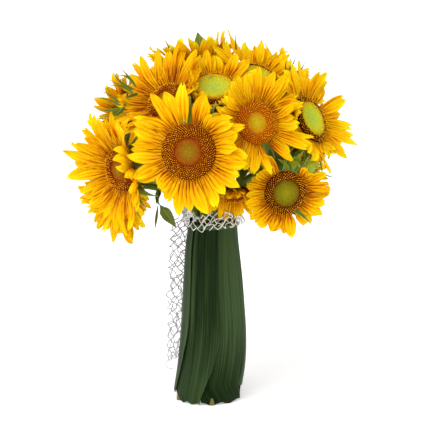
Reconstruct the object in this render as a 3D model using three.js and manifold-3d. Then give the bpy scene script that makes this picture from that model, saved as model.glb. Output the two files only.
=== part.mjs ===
import * as THREE from 'three';
import { mergeVertices } from 'three/addons/utils/BufferGeometryUtils.js';
import Module from 'manifold-3d';

// A bunch of sunflowers, standing on its cut stem ends: millimetres and degrees, +Z up, front to -Y.

const wasm = await Module();
wasm.setup();

// ---------- Driving dimensions ----------

const GAP = 0.3; // clearance between neighbouring pieces

// Each flower: the centre of its disc, the way it faces (yaw from the front, + to the right; pitch,
// + up), its disc's radius, its petals' length and how far they are raised from the disc's plane.
// They stand in the order in which they lie over each other, the foremost first. An arc gives the
// petals between two angles, counted round from the disc's right side, a share of that length. A
// green disc is one whose florets are still closed.
const BLOOMS = [
  { name: 'front', at: [-24, -112, 329], yaw: -15, pitch: 8, disc: 33, petal: 39, raise: 4 },
  { name: 'centre', at: [57, -92, 361], yaw: 28, pitch: 15, disc: 25.5, petal: 37, raise: 16 },
  { name: 'low_right', at: [92, -85, 276], yaw: 15, pitch: -4, disc: 26, petal: 26, raise: 0,
    arcs: [[58, 122, 0.4], [25, 58, 0.8], [-45, 25, 1.12], [150, 200, 0.85]] },
  { name: 'left', at: [-109, -57, 299], yaw: -48, pitch: -5, disc: 26, petal: 54, raise: 28,
    arcs: [[-140, -112, 0.85], [135, 158, 0.82], [-158, -140, 0.9]] },
  { name: 'right', at: [125, -40, 360], yaw: 55, pitch: 25, disc: 29, petal: 46, raise: 18, green: true,
    arcs: [[70, 112, 0.88], [-90, -68, 0.72], [-68, -45, 0.85], [-135, -112, 0.7], [135, 158, 0.5]] },
  { name: 'upper_left', at: [-54, -42, 385], yaw: -45, pitch: 42, disc: 24, petal: 48, raise: 23,
    arcs: [[-70, 50, 0.66]] },
  { name: 'top_front', at: [6, -48, 399], yaw: 0, pitch: 58, disc: 29, petal: 33, raise: 24, green: true },
  { name: 'top_right', at: [61.5, -5, 407.5], yaw: 35, pitch: 55, disc: 27, petal: 40, raise: 20,
    green: true },
  { name: 'low_left', at: [-115, -22, 261], yaw: -10, pitch: -25, disc: 21, petal: 46, raise: 10, green: true,
    arcs: [[-68, -45, 0.75], [-45, 25, 0.45], [25, 160, 0.4], [160, 225, 0.6], [225, 240, 0.8]] },
  { name: 'low_front', at: [31, -57, 268], yaw: 5, pitch: -62, disc: 20, petal: 29, raise: 48 },
  { name: 'top_left', at: [-13, 34, 422], yaw: -160, pitch: 80, disc: 24, petal: 44, raise: 30, green: true,
    arcs: [[0, 45, 0.8], [90, 158, 0.86]] },
  { name: 'far_left', at: [-105, 18, 357], yaw: -110, pitch: 15, disc: 24, petal: 36, raise: 28,
    arcs: [[22, 45, 0.85], [68, 112, 0.75]] },
  { name: 'high_right', at: [105, 45, 389], yaw: 70, pitch: 35, disc: 25, petal: 42, raise: 10, green: true },
  { name: 'back', at: [21, 105, 342], yaw: 180, pitch: 20, disc: 30, petal: 45, raise: 6 },
  { name: 'back_left', at: [-77, 85, 331], yaw: -145, pitch: 15, disc: 27, petal: 43, raise: 8 },
  { name: 'back_right', at: [98, 75, 287], yaw: 140, pitch: 0, disc: 26, petal: 42, raise: 4 },
];
// The two buds of one side stem: the first ends the stem, the second its twig.
const BUD = { name: 'bud', at: [128, -44, 300], yaw: 55, pitch: 15, radius: 8.5, length: 17 };
const SIDE_BUD = { ...BUD, at: [106, -56, 307], yaw: 20, pitch: 30 };
const TWIG = { leaves: 0.6, radius: 2.5 };
const TWIG_STEPS = 4; // of the curve of a twig or a shoot
// The drooping side shoot of the left flower's stem: how far up it leaves, its crest and its end.
const SHOOT = { leaves: 0.4, crest: [-66, -42, 305], end: [-62, -45, 257], radius: 1.5, sides: 4 };
const BUD_PROFILE = [[0, -1], [0.6, -1], [1, -0.6], [1, -0.45], [0.7, -0.12], [0, 0]]; // shares of both
const BUD_WALL = 2; // the row of that profile which carries the sepals
const BUD_SIDES = 8;

// The large leaves: the stem that each grows on, or that stem's shoot, and how far up, its tip, its
// width, and its droop.
const LEAVES = [
  { stem: 'top_left', along: 0.85, tip: [-8, 10, 461], width: 30, bend: 10 },
  { stem: 'centre', along: 0.72, tip: [33, -86, 274], width: 26, bend: -15 },
  { stem: 'low_right', along: 0.6, tip: [54, -88, 308], width: 30, bend: -25 },
  { stem: 'right', along: 0.72, tip: [120, -66, 322], width: 30, bend: -30 },
  { stem: 'bud', along: 0.8, tip: [150, -48, 290], width: 20, bend: -20 },
  { stem: 'left', shoot: true, along: 0.7, tip: [-66, -49, 256], width: 10, bend: -20 },
  { stem: 'left', shoot: true, along: 0.97, tip: [-40, -47, 228], width: 15, bend: 15 },
  { stem: 'left', shoot: true, along: 0.97, tip: [-66, -46, 226], width: 6, bend: 10 },
  { stem: 'far_left', along: 0.75, tip: [-132, -5, 318], width: 32, bend: -25 },
  { stem: 'back_left', along: 0.6, tip: [-70, 78, 258], width: 34, bend: -25 },
  { stem: 'back', along: 0.7, tip: [36, 116, 284], width: 36, bend: -25 },
  { stem: 'back_right', along: 0.6, tip: [112, 36, 236], width: 34, bend: -20 },
  { stem: 'high_right', along: 0.8, tip: [132, 62, 338], width: 32, bend: -25 },
];
const LEAF_OUTLINE = [[0, 0.1], [0.18, 0.08], [0.34, 0.9], [0.54, 1], [0.78, 0.62], [1, 0]];
const LEAF_THICKNESS = 0.9;
const LEAF_FOLD = 0.25;
const LEAF_WAVE = 1.6;
// A leaf that is not clear as it stands is swung or raised first, and made smaller after that.
const LEAF_SCALES = [1, 0.85, 0.7];
const LEAF_RAISES = [0, 14, -14, 28, -28, 42];
const LEAF_SWINGS = [0, 14, -14, 28, -28, 45, -45];

// A flower's head, from the disc's plane backwards.
const PETAL_COUNT = 16;
const DISC_DEPTH = 5.5;
const DISC_CROWN = [[1, -0.6], [0.78, 2.8], [0.38, 1.2], [0, 0.8]]; // share of the radius, height
const RING_WALL = 2.4;
const RING_TOP = -2.2;
const RING_FOOT = -4.6;
const CALYX_TOP = -DISC_DEPTH - GAP - 0.05;
const CALYX_RIM = 2.4;
const CALYX_SLOPE = 0.42; // depth of the calyx for each millimetre of the disc's radius
const STEM_SINK = 3;

// The petals lie in two layers, every other one in the upper.
const PETAL_LAYERS = [{ lift: 8, bend: -16 }, { lift: -5, bend: -8 }];
const PETAL_FILL = 1.02; // of its share of the ring at its widest, which is so far along it:
const PETAL_WIDEST = 0.35;
const PETAL_THICKNESS = 0.8;
const PETAL_LENGTHS = [0.9, 1.1];
const PETAL_SWAY = 4; // of its tip to either side
const FLORET_RELIEF = 1.1;
const PETAL_OUTLINE = [[0, 0.62], [PETAL_WIDEST, 0.94], [0.7, 1], [1, 0]];
const PETAL_TURNS = [0, 11, -11, 22, -22, 34, 46, 58, 70];
const PETAL_SCALES = [1, 0.82, 0.66, 0.52];

const BRACT_COUNT = 9;
const BRACT_OUTLINE = [[0, 1], [0.42, 0.8], [1, 0]];
const BRACT_LENGTH = 0.66; // of the petal's length
const BRACT_WIDTH = 14;
const BRACT_BEND = -16;
const BRACT_TURNS = [-10, -20, -32, -44, -56, 0, 12];
const BRACT_SCALES = [1, 0.75, 0.5, 0.3];
const SEPAL = {
  length: 15, width: 7.5, thickness: PETAL_THICKNESS, outline: BRACT_OUTLINE, rise: 68, bend: 16,
};

// The stems, packed in rings at the neck, and spreading from there down to their cut ends.
const STEM_RADIUS = 5;
const STEM_SIDES = 6;
const NECK = new THREE.Vector3(5.7, 0, 228);
const SLOT_RINGS = [{ count: 1, radius: 0 }, { count: 6, radius: 11 }, { count: 11, radius: 22.55 }];
const FOOT_SPREAD = 1.57;
const HANDLE_BEND = 90; // height of the stems' one bend below the neck
const HANDLE_BEND_SPREAD = 0.52; // share of the spread that is left there
const HANDLE_BEND_LEAN = 0.6; // share of the neck's way to the side that is gone there
// A stem leaves the neck upright and comes up to its head from behind, each for a share of the way
// between them; the first of these that keep it clear are taken. Its line is cut at the stations.
const STEM_RISES = [0.4, 0.55, 0.7, 0.25, 0.9];
const STEM_TUCKS = [0.3, 0.42, 0.2, 0.55, 0.12];
const STEM_STATIONS = [0, 0.16, 0.36, 0.56, 0.74, 0.88, 1];
const STEM_SPACING = 2 * STEM_RADIUS + 0.6;
const HEAD_MARGIN = 1;
const HEAD_CROWN = 4; // height of a disc's florets over its plane, with their clearance

// The handle of lapped strap leaves: its left and right edges seen from the front, and how far the
// leaves have turned, at each of a few heights.
const HANDLE = [
  { z: 0.6, left: -47.5, right: 44, twist: -27 },
  { z: 45, left: -41, right: 50, twist: -13 },
  { z: 90, left: -36.5, right: 50, twist: 0 },
  { z: 208, left: -31, right: 38.5, twist: 0 },
  { z: 228, left: -25, right: 36.5, twist: 0 },
];
const WRAP_THICKNESS = 0.9;
const WRAP_TUCK = 2.3; // how much deeper a leaf's hidden edge lies than its free one
const WRAP_COLUMNS = 4;
const WRAP_COLUMN = 20;
const WRAP_FREE_EDGE = -77;
const WRAPS = [
  { name: 'wrap_front_left', foot: 0.6, footColumns: [0, 1, 1.8, 2, 2.2] },
  { name: 'wrap_front_right', foot: 0.6 },
  { name: 'wrap_right', foot: 16, sink: 0.4 },
  { name: 'wrap_back_right', foot: 2 },
  { name: 'wrap_back_left', foot: 0.6 },
  { name: 'wrap_left', foot: 8 },
];

const BINDING = { low: 221, high: 227, thickness: 1.2 };

const NET_KNOT = 1.3; // half of a knot, and with it about half of a strand's width
const NET_THICKNESS = 1.5;
const NET_OUTSET = 3.3;
const COLLAR = { strands: 2, knots: 18, low: 217, high: 236, jitter: 1.6 };
const TAIL = { strands: 3, knots: 15, high: 235, leaves: 212, low: 44, jitter: 1.3 };
const TAIL_ANGLES = [180, 150];
const TAIL_LINE = [
  { z: 212, x: -31.8, y: 9.6, width: 19.5, turn: 165 },
  { z: 180, x: -39.5, y: 20, width: 20, turn: 90 },
  { z: 100, x: -43, y: 22, width: 20, turn: 90 },
  { z: 44, x: -47.5, y: 22, width: 14, turn: 90 },
];

// ---------- Small helpers ----------

const rad = THREE.MathUtils.degToRad;
const { lerp } = THREE.MathUtils;
const times = (count, make) => Array.from({ length: count }, (_, index) => make(index));

// A fixed draw between 0 and 1 for the given place in a series.
function draw(series, index) {
  const wave = Math.sin(index * 12.9898 + series * 78.233) * 43758.5453;
  return wave - Math.floor(wave);
}

// The values of a table's row at a height, straight between its rows and on beyond its ends.
function rowAt(rows, z) {
  let above = 1;
  const rising = rows[1].z > rows[0].z;
  while (above < rows.length - 1 && (rising ? rows[above].z < z : rows[above].z > z)) above += 1;
  const [from, to] = [rows[above - 1], rows[above]];
  const share = (z - from.z) / (to.z - from.z);
  return Object.fromEntries(Object.keys(from).map((key) => [key, lerp(from[key], to[key], share)]));
}

// The triangles of a skin over cross-sections that each run along the upper face and back along the
// lower one. Both faces are split alike. The first section may be left open.
function loft(sections, columns, open = false) {
  const size = sections[0].length;
  const faces = [];
  for (let row = 0; row < sections.length - 1; row += 1) {
    const [from, to] = [sections[row], sections[row + 1]];
    for (let side = 0; side < size; side += 1) {
      const next = (side + 1) % size;
      const [a, b, c, d] = [from[side], from[next], to[next], to[side]];
      if (side > columns) faces.push(a, b, d, b, c, d);
      else faces.push(a, b, c, a, c, d);
    }
  }
  const [start, end] = [sections[0], sections[sections.length - 1]];
  for (let column = 0; column < columns; column += 1) {
    const [left, right, beyond, under] = [column, column + 1, size - 2 - column, size - 1 - column];
    faces.push(end[left], end[right], end[under], end[right], end[beyond], end[under]);
    if (open) continue;
    faces.push(start[left], start[under], start[right], start[right], start[under], start[beyond]);
  }
  return faces;
}

// A geometry of those triangles, without the empty ones of a blade that ends in a point.
function skin(faces) {
  const whole = times(faces.length / 3, (face) => faces.slice(3 * face, 3 * face + 3))
    .filter(([a, b, c]) => !a.equals(b) && !b.equals(c) && !c.equals(a));
  return new THREE.BufferGeometry().setFromPoints(whole.flat());
}

// The cross-sections of a blade that grows along +X from the origin, its face up. The outline gives
// half widths along it, the slope goes from rise to rise + bend, and fold raises its edges. A root
// that fills a flat wall has that wall's width and height.
function blade({ length, width, thickness, outline, rise, bend, root, fold = 0, wave = 0, sway = 0 }) {
  const folded = fold !== 0;
  const spine = new THREE.Vector3();
  return outline.map(([along, share], row) => {
    const before = row ? outline[row - 1][0] : 0;
    const middle = rad(rise + (bend * (along + before)) / 2);
    const run = (along - before) * length;
    spine.x += Math.cos(middle) * run;
    spine.z += Math.sin(middle) * run;
    const walled = root && row === 0;
    const slope = walled ? 0 : rad(rise + bend * along);
    const up = new THREE.Vector3(-Math.sin(slope), 0, Math.cos(slope));
    const half = (walled ? root.width : share * width) / 2;
    const depth = walled ? root.height : thickness;
    const edge = fold * half + wave * (row % 2 ? 1 : -1) * share;
    const point = (side, face) => {
      const height = Math.abs(side) * edge + (face * depth) / 2;
      return spine.clone().addScaledVector(up, height).setY(side * half + sway * along * along);
    };
    const sides = folded ? [1, 0, -1] : [1, -1];
    return [...sides.map((side) => point(side, 1)), ...sides.reverse().map((side) => point(side, -1))];
  });
}

function moved(sections, matrix) {
  return sections.map((section) => section.map((point) => point.clone().applyMatrix4(matrix)));
}

// A many-sided body round the Z axis, whose profile runs upwards as [radius, height] pairs. Each flat
// of the wall above profile[wall] may carry a blade, given as its cross-sections, that grows out of it.
function bladedBody(profile, sides, wall, blades) {
  const corner = ([radius, height], side) => {
    const angle = (2 * Math.PI * (side % sides)) / sides;
    return new THREE.Vector3(radius * Math.cos(angle), radius * Math.sin(angle), height);
  };
  const faces = [];
  for (let side = 0; side < sides; side += 1) {
    for (let row = 0; row < profile.length - 1; row += 1) {
      const [low, high] = [profile[row], profile[row + 1]];
      const [a, b] = [corner(low, side), corner(low, side + 1)];
      const [c, d] = [corner(high, side + 1), corner(high, side)];
      if (row === wall && blades[side]) {
        faces.push(...loft([[c, d, a, b], ...blades[side].slice(1)], 1, true));
        continue;
      }
      if (low[0] > 0) faces.push(a, b, c);
      if (high[0] > 0) faces.push(a, c, d);
    }
  }
  return skin(faces);
}

const flatWidth = (radius, sides) => 2 * radius * Math.sin(Math.PI / sides);

// The place of a blade's root in the middle of one flat of such a wall.
function flatMatrix(radius, height, side, sides) {
  const turn = new THREE.Matrix4().makeRotationZ((2 * Math.PI * (side + 0.5)) / sides);
  return turn.multiply(new THREE.Matrix4().makeTranslation(radius * Math.cos(Math.PI / sides), 0, height));
}

// A body turned round the Z axis; its profile runs upwards as [radius, height] pairs.
function turned(profile, sides) {
  const points = profile.map(([radius, height]) => new THREE.Vector2(radius, height));
  return new THREE.LatheGeometry(points, sides).rotateX(Math.PI / 2);
}

// A route through given points, straight between them, one step of a sweep for each.
class Route extends THREE.Curve {
  constructor(points) {
    super();
    this.points = points;
  }

  getPoint(share, target = new THREE.Vector3()) {
    const last = this.points.length - 1;
    const from = Math.min(Math.floor(share * last + 1e-9), last - 1);
    return target.lerpVectors(this.points[from], this.points[from + 1], share * last - from);
  }

  getPointAt(share, target) {
    return this.getPoint(share, target);
  }

  getTangentAt(share, target) {
    return this.getTangent(share, target);
  }
}

function tube(points, radius, sides) {
  const section = new THREE.Shape(times(sides, (side) => {
    const angle = (2 * Math.PI * side) / sides;
    return new THREE.Vector2(Math.cos(angle), Math.sin(angle)).multiplyScalar(radius);
  }));
  return new THREE.ExtrudeGeometry(section, {
    steps: points.length - 1,
    bevelEnabled: false,
    extrudePath: new Route(points),
  });
}

// ---------- Solids: joining them, and keeping them clear of each other ----------

function solidOf(geometry, matrix = new THREE.Matrix4()) {
  const bare = geometry.clone().applyMatrix4(matrix);
  bare.deleteAttribute('normal');
  bare.deleteAttribute('uv');
  const merged = mergeVertices(bare, 1e-4);
  return new wasm.Manifold(new wasm.Mesh({
    numProp: 3,
    vertProperties: merged.attributes.position.array,
    triVerts: new Uint32Array(merged.index.array),
  }));
}

const joined = (solids) => solids.reduce((whole, solid) => whole.add(solid));

function geometryOf(solid) {
  const { vertProperties, triVerts } = solid.getMesh();
  const geometry = new THREE.BufferGeometry();
  geometry.setAttribute('position', new THREE.BufferAttribute(vertProperties, 3));
  geometry.setIndex(new THREE.BufferAttribute(triVerts, 1));
  geometry.computeVertexNormals();
  return geometry;
}

const laid = []; // every solid laid so far, with its piece's name and its box

function lay(piece, solid) {
  laid.push({ piece, solid, box: solid.boundingBox() });
}

function boxesMeet(one, other) {
  return [0, 1, 2].every((axis) => one.min[axis] < other.max[axis] && other.min[axis] < one.max[axis]);
}

// Whether a solid meets none of the other pieces. It is given fatter than the piece, by the gap.
function isClear(piece, solid) {
  const box = solid.boundingBox();
  return laid.every((other) => {
    if (other.piece === piece || !boxesMeet(box, other.box)) return true;
    const shared = solid.intersect(other.solid);
    const empty = shared.isEmpty();
    shared.delete();
    return empty;
  });
}

function fattened(trial) {
  const [width, thickness] = [trial.width + 2 * GAP, trial.thickness + 2 * GAP];
  const root = trial.root && { width: trial.root.width + 2 * GAP, height: trial.root.height + 2 * GAP };
  return { ...trial, width, thickness, root, length: trial.length + 2 * GAP };
}

// The first of several blades that lies clear of the other pieces once it is fattened by the gap.
function firstClearBlade(piece, trials, matrixOf) {
  for (const trial of trials) {
    const fat = fattened(trial);
    const matrix = matrixOf(trial);
    const columns = trial.fold ? 2 : 1;
    if (isClear(piece, solidOf(skin(loft(blade(fat), columns)), matrix))) {
      lay(piece, solidOf(skin(loft(blade(trial), columns)), matrix));
      return moved(blade(trial), matrix);
    }
  }
  return null;
}

// ---------- Heads ----------

function facing({ yaw, pitch }) {
  const flat = Math.cos(rad(pitch));
  return new THREE.Vector3(Math.sin(rad(yaw)) * flat, -Math.cos(rad(yaw)) * flat, Math.sin(rad(pitch)));
}

// A head's own frame: +Z the way it faces, +X level and +Y up its face.
function headMatrix(bloom) {
  const front = facing(bloom);
  const across = new THREE.Vector3(0, 0, 1).cross(front).normalize();
  const up = front.clone().cross(across);
  return new THREE.Matrix4().makeBasis(across, up, front).setPosition(...bloom.at);
}

const calyxDepth = (bloom) => -CALYX_TOP + CALYX_SLOPE * bloom.disc;

// The florets stand up from the disc in staggered knots.
function discGeometry(bloom) {
  const r = bloom.disc;
  const profile = [
    [0, -DISC_DEPTH], [r, -DISC_DEPTH],
    ...DISC_CROWN.map(([share, height]) => [share * r, height]),
  ];
  const geometry = turned(profile, PETAL_COUNT);
  const spots = geometry.attributes.position;
  const rows = profile.length;
  for (let spot = 0; spot < spots.count; spot += 1) {
    const row = spot % rows;
    const column = Math.floor(spot / rows) % PETAL_COUNT;
    const raised = row > 2 && row < rows - 1 && (row + column) % 2;
    if (raised) spots.setZ(spot, spots.getZ(spot) + FLORET_RELIEF);
  }
  return geometry;
}

const ringMiddle = (RING_TOP + RING_FOOT) / 2;
const ringOuter = (bloom) => bloom.disc + GAP + 0.05 + RING_WALL;

function petalsGeometry(bloom, blades) {
  const outer = ringOuter(bloom);
  const inner = outer - RING_WALL;
  const profile = [
    [inner, RING_FOOT], [outer, RING_FOOT], [outer, RING_TOP], [inner, RING_TOP], [inner, RING_FOOT],
  ];
  return bladedBody(profile, PETAL_COUNT, 1, blades);
}

const calyxRadius = (bloom) => bloom.disc + 1.8;

function calyxGeometry(bloom, blades) {
  const rim = calyxRadius(bloom);
  const foot = -calyxDepth(bloom);
  const profile = [
    [0, foot], [STEM_RADIUS + 1.5, foot], [0.82 * rim, CALYX_TOP - 5], [rim, CALYX_TOP - CALYX_RIM],
    [rim, CALYX_TOP], [0, CALYX_TOP],
  ];
  return bladedBody(profile, BRACT_COUNT, 3, blades);
}

// ---------- Stems ----------

function headOf(bloom) {
  const axis = facing(bloom);
  const at = new THREE.Vector3(...bloom.at);
  if (!bloom.disc) return { name: bloom.name, at, axis, depth: bloom.length, radius: bloom.radius };
  return { name: bloom.name, at, axis, depth: calyxDepth(bloom), radius: ringOuter(bloom) + HEAD_MARGIN };
}
const HEADS = [...BLOOMS, BUD].map(headOf);

// Each stem's place in the neck: the steepest in the middle, the rest round them by their headings.
function neckSlots() {
  const heads = HEADS.map((head) => {
    const back = head.at.clone().addScaledVector(head.axis, -head.depth).sub(NECK);
    const reach = Math.hypot(back.x, back.y);
    return { name: head.name, slope: back.z / reach, heading: Math.atan2(back.y, back.x) };
  });
  heads.sort((one, other) => other.slope - one.slope);
  const slots = {};
  let taken = 0;
  for (const ring of SLOT_RINGS) {
    const members = heads.slice(taken, taken + ring.count);
    members.sort((one, other) => one.heading - other.heading);
    taken += members.length;
    const step = (2 * Math.PI) / members.length;
    const starts = members.map(({ heading }, index) => heading - index * step);
    const start = starts.reduce((sum, angle) => sum + angle) / members.length;
    members.forEach(({ name }, index) => {
      const angle = start + index * step;
      slots[name] = new THREE.Vector3(Math.cos(angle), Math.sin(angle), 0).multiplyScalar(ring.radius);
    });
  }
  return slots;
}

function distanceToHead(point, head) {
  const offset = point.clone().sub(head.at);
  const along = offset.dot(head.axis);
  const across = Math.sqrt(Math.max(offset.lengthSq() - along * along, 0));
  const beyond = Math.max(along - HEAD_CROWN, -head.depth - along, 0);
  return Math.hypot(Math.max(across - head.radius, 0), beyond);
}

const stemLines = []; // the middle lines of the stems led so far

function lineIsClear(line, name) {
  const clearOf = (head) => line.every((point) => distanceToHead(point, head) > STEM_RADIUS + 1);
  const apart = (point, other) => other.every((spot) => spot.distanceTo(point) > STEM_SPACING);
  return HEADS.every((head) => head.name === name || clearOf(head))
    && stemLines.every((other) => line.every((point) => apart(point, other)));
}

function upperCurve(slot, head, rise, tuck) {
  const from = slot.clone().add(NECK);
  const to = head.at.clone().addScaledVector(head.axis, STEM_SINK - head.depth);
  const reach = from.distanceTo(to);
  return new THREE.CubicBezierCurve3(
    from,
    from.clone().add(new THREE.Vector3(0, 0, rise * reach)),
    to.clone().addScaledVector(head.axis, -tuck * reach),
    to,
  );
}

function leadStem(slot, head) {
  for (const rise of STEM_RISES) {
    for (const tuck of STEM_TUCKS) {
      const curve = upperCurve(slot, head, rise, tuck);
      const line = curve.getPoints(30).slice(2);
      if (lineIsClear(line, head.name)) {
        stemLines.push(line);
        return curve;
      }
    }
  }
  throw new Error(`no clear way for the stem of ${head.name}`);
}

function stemPoints(slot, curve) {
  const bend = lerp(1, FOOT_SPREAD, HANDLE_BEND_SPREAD);
  return [
    slot.clone().multiplyScalar(FOOT_SPREAD),
    slot.clone().multiplyScalar(bend).add(new THREE.Vector3(NECK.x * HANDLE_BEND_LEAN, 0, HANDLE_BEND)),
    ...STEM_STATIONS.map((share) => curve.getPoint(share)),
  ];
}

// The tube of a stem, cut off level where it stands.
function stemGeometry(points) {
  const geometry = tube(points, STEM_RADIUS, STEM_SIDES);
  const spots = geometry.attributes.position;
  for (let spot = 0; spot < spots.count; spot += 1) {
    if (spots.getZ(spot) < STEM_RADIUS) spots.setZ(spot, 0);
  }
  return geometry;
}

// ---------- Leaves and buds ----------

// The frame of a leaf from its root on the stem to its tip, its face turned up and outwards.
function leafMatrix(root, tip, swing) {
  const along = tip.clone().sub(root).normalize().applyAxisAngle(new THREE.Vector3(0, 0, 1), rad(swing));
  const outwards = new THREE.Vector3(tip.x - NECK.x, tip.y - NECK.y, 0).normalize().setZ(0.7);
  const across = outwards.cross(along).normalize();
  return new THREE.Matrix4().makeBasis(along, across, along.clone().cross(across)).setPosition(root);
}

function growLeaf(leaf, curve) {
  const root = curve.getPointAt(leaf.along);
  const tip = new THREE.Vector3(...leaf.tip);
  const ways = LEAF_SCALES.flatMap((scale) => LEAF_RAISES.flatMap((raise) => {
    return LEAF_SWINGS.map((swing) => ({ scale, raise, swing }));
  }));
  const trials = ways.map(({ scale, raise, swing }) => ({
    length: root.distanceTo(tip) * scale,
    width: leaf.width * scale,
    thickness: LEAF_THICKNESS,
    outline: LEAF_OUTLINE,
    rise: raise - leaf.bend / 2,
    bend: leaf.bend,
    fold: LEAF_FOLD,
    wave: LEAF_WAVE,
    swing,
  }));
  const found = firstClearBlade(`${leaf.stem}_stem`, trials, ({ swing }) => leafMatrix(root, tip, swing));
  return found && solidOf(skin(loft(found, 2)));
}

function budSolid(bud) {
  const profile = BUD_PROFILE.map(([across, down]) => [across * bud.radius, down * bud.length]);
  const height = (profile[BUD_WALL][1] + profile[BUD_WALL + 1][1]) / 2;
  const blades = times(BUD_SIDES, (side) => {
    return moved(blade(SEPAL), flatMatrix(bud.radius, height, side, BUD_SIDES));
  });
  return solidOf(bladedBody(profile, BUD_SIDES, BUD_WALL, blades), headMatrix(bud));
}

// The twig of the second bud leaves the side stem and comes up to the bud from behind.
function twigSolid(curve) {
  const head = headOf(SIDE_BUD);
  const end = head.at.clone().addScaledVector(head.axis, STEM_SINK - head.depth);
  const turn = end.clone().addScaledVector(head.axis, -2 * SIDE_BUD.radius);
  const start = curve.getPointAt(TWIG.leaves);
  const line = new THREE.QuadraticBezierCurve3(start, turn, end);
  return solidOf(tube(line.getPoints(TWIG_STEPS), TWIG.radius, STEM_SIDES));
}

// The shoot rises from its stem to a crest and hangs down from there.
function shootLine(curve) {
  const [crest, end] = [SHOOT.crest, SHOOT.end].map((spot) => new THREE.Vector3(...spot));
  return new THREE.QuadraticBezierCurve3(curve.getPointAt(SHOOT.leaves), crest, end);
}

// ---------- The handle ----------

function onHandle(angle, z, outset) {
  const { left, right } = rowAt(HANDLE, z);
  const radius = (right - left) / 2 + outset;
  const [x, y] = [radius * Math.cos(rad(angle)), radius * Math.sin(rad(angle))];
  return new THREE.Vector3((left + right) / 2 + x, y, z);
}

// A point on the handle's flat-sided form, counted in leaf columns clockwise from a leaf's free edge.
function onWrap(edge, column, z, outset) {
  const corner = Math.floor(column);
  const angle = edge - corner * WRAP_COLUMN;
  return onHandle(angle, z, outset).lerp(onHandle(angle - WRAP_COLUMN, z, outset), column - corner);
}

function wrapGeometry(wrap, place) {
  const even = times(WRAP_COLUMNS + 1, (column) => column);
  const rowPoints = ({ z, twist }, columns) => {
    const edge = WRAP_FREE_EDGE + (place * 360) / WRAPS.length + twist;
    const sink = wrap.sink ?? 0;
    const face = (depth) => columns.map((column, order) => {
      return onWrap(edge, column, z, -depth - sink - (WRAP_TUCK * order) / WRAP_COLUMNS);
    });
    return [...face(0).reverse(), ...face(WRAP_THICKNESS)];
  };
  const sections = HANDLE.map((row, index) => rowPoints(row, index ? even : wrap.footColumns ?? even));
  const rise = (wrap.foot - HANDLE[0].z) / (HANDLE[1].z - HANDLE[0].z);
  sections[0].forEach((point, index) => point.lerp(sections[1][index], rise));
  return skin(loft(sections, WRAP_COLUMNS));
}

function bindingGeometry() {
  const { low, high, thickness } = BINDING;
  const outset = GAP + 0.05;
  const start = rad(WRAP_FREE_EDGE + 90);
  const section = [[1, low], [2, low], [2, high], [1, high], [1, low]];
  const profile = section.map((pair) => new THREE.Vector2(...pair));
  const geometry = new THREE.LatheGeometry(profile, 360 / WRAP_COLUMN, start).rotateX(Math.PI / 2);
  const spots = geometry.attributes.position;
  for (let spot = 0; spot < spots.count; spot += 1) {
    const [x, y, z] = [spots.getX(spot), spots.getY(spot), spots.getZ(spot)];
    const layer = Math.hypot(x, y) > 1.5 ? outset + thickness : outset;
    const point = onHandle(THREE.MathUtils.radToDeg(Math.atan2(y, x)), z, layer);
    spots.setXYZ(spot, point.x, point.y, point.z);
  }
  return geometry;
}

// ---------- The net ----------

// A net of knots, each joined to the two on the next row, over a surface given as place(across, down).
// Its knots and strands are square in section; a closed one runs round and meets itself.
function netGeometry({ strands, knots, closed, place, series, jitter }) {
  const isKnot = (column, row) => column >= 0 && column <= strands && (closed || (row >= 0 && row < knots))
    && (column + row) % 2 === 0;
  const corners = (column, row) => {
    const round = (row + knots) % knots;
    const spot = place(column / strands, round);
    const across = place(column / strands + 0.01, round).sub(spot).normalize();
    const down = place(column / strands, round + 0.02).sub(spot).normalize();
    const out = down.clone().cross(across).normalize();
    const seed = column * knots + round;
    spot.addScaledVector(across, (draw(series, seed) - 0.5) * 2 * jitter);
    spot.addScaledVector(down, (draw(series + 1, seed) - 0.5) * 2 * jitter);
    const ends = [down.clone().negate(), across, down, across.clone().negate()];
    return [1, -1].map((face) => ends.map((end) => spot.clone().addScaledVector(end, NET_KNOT)
      .addScaledVector(out, (face * NET_THICKNESS) / 2)));
  };
  const steps = [[1, -1], [1, 1], [-1, 1], [-1, -1]];
  const faces = [];
  const quad = (a, b, c, d) => faces.push(a, b, c, a, c, d);
  for (let row = 0; row < knots; row += 1) {
    for (let column = row % 2; column <= strands; column += 2) {
      const [top, low] = corners(column, row);
      quad(top[0], top[3], top[2], top[1]);
      quad(low[0], low[1], low[2], low[3]);
      steps.forEach(([across, down], side) => {
        const next = (side + 1) % 4;
        if (!isKnot(column + across, row + down)) {
          quad(top[side], top[next], low[next], low[side]);
          return;
        }
        if (down < 0) return;
        const [farTop, farLow] = corners(column + across, row + down);
        const [a, b] = [(side + 3) % 4, (side + 2) % 4];
        quad(top[side], top[next], farTop[b], farTop[a]);
        quad(low[next], low[side], farLow[a], farLow[b]);
        quad(top[next], low[next], farLow[b], farTop[b]);
        quad(low[side], top[side], farTop[a], farLow[a]);
      });
    }
  }
  return skin(faces);
}

function collarPlace(across, knot) {
  return onHandle((-360 * knot) / COLLAR.knots, lerp(COLLAR.high, COLLAR.low, across), NET_OUTSET);
}

function tailPlace(across, knot) {
  const { knots, high, leaves, low } = TAIL;
  const z = lerp(high, low, knot / (knots - 1));
  if (z > leaves) return onHandle(lerp(...TAIL_ANGLES, across), z, NET_OUTSET);
  const line = rowAt(TAIL_LINE, z);
  const offset = (across - 0.5) * line.width;
  return new THREE.Vector3(
    line.x + Math.sin(rad(line.turn)) * offset,
    line.y - Math.cos(rad(line.turn)) * offset,
    z,
  );
}

const netSolid = () => joined([
  solidOf(netGeometry({ ...COLLAR, closed: true, place: collarPlace, series: 3 })),
  solidOf(netGeometry({ ...TAIL, closed: false, place: tailPlace, series: 5 })),
]);

// ---------- Putting the bunch together ----------

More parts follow.
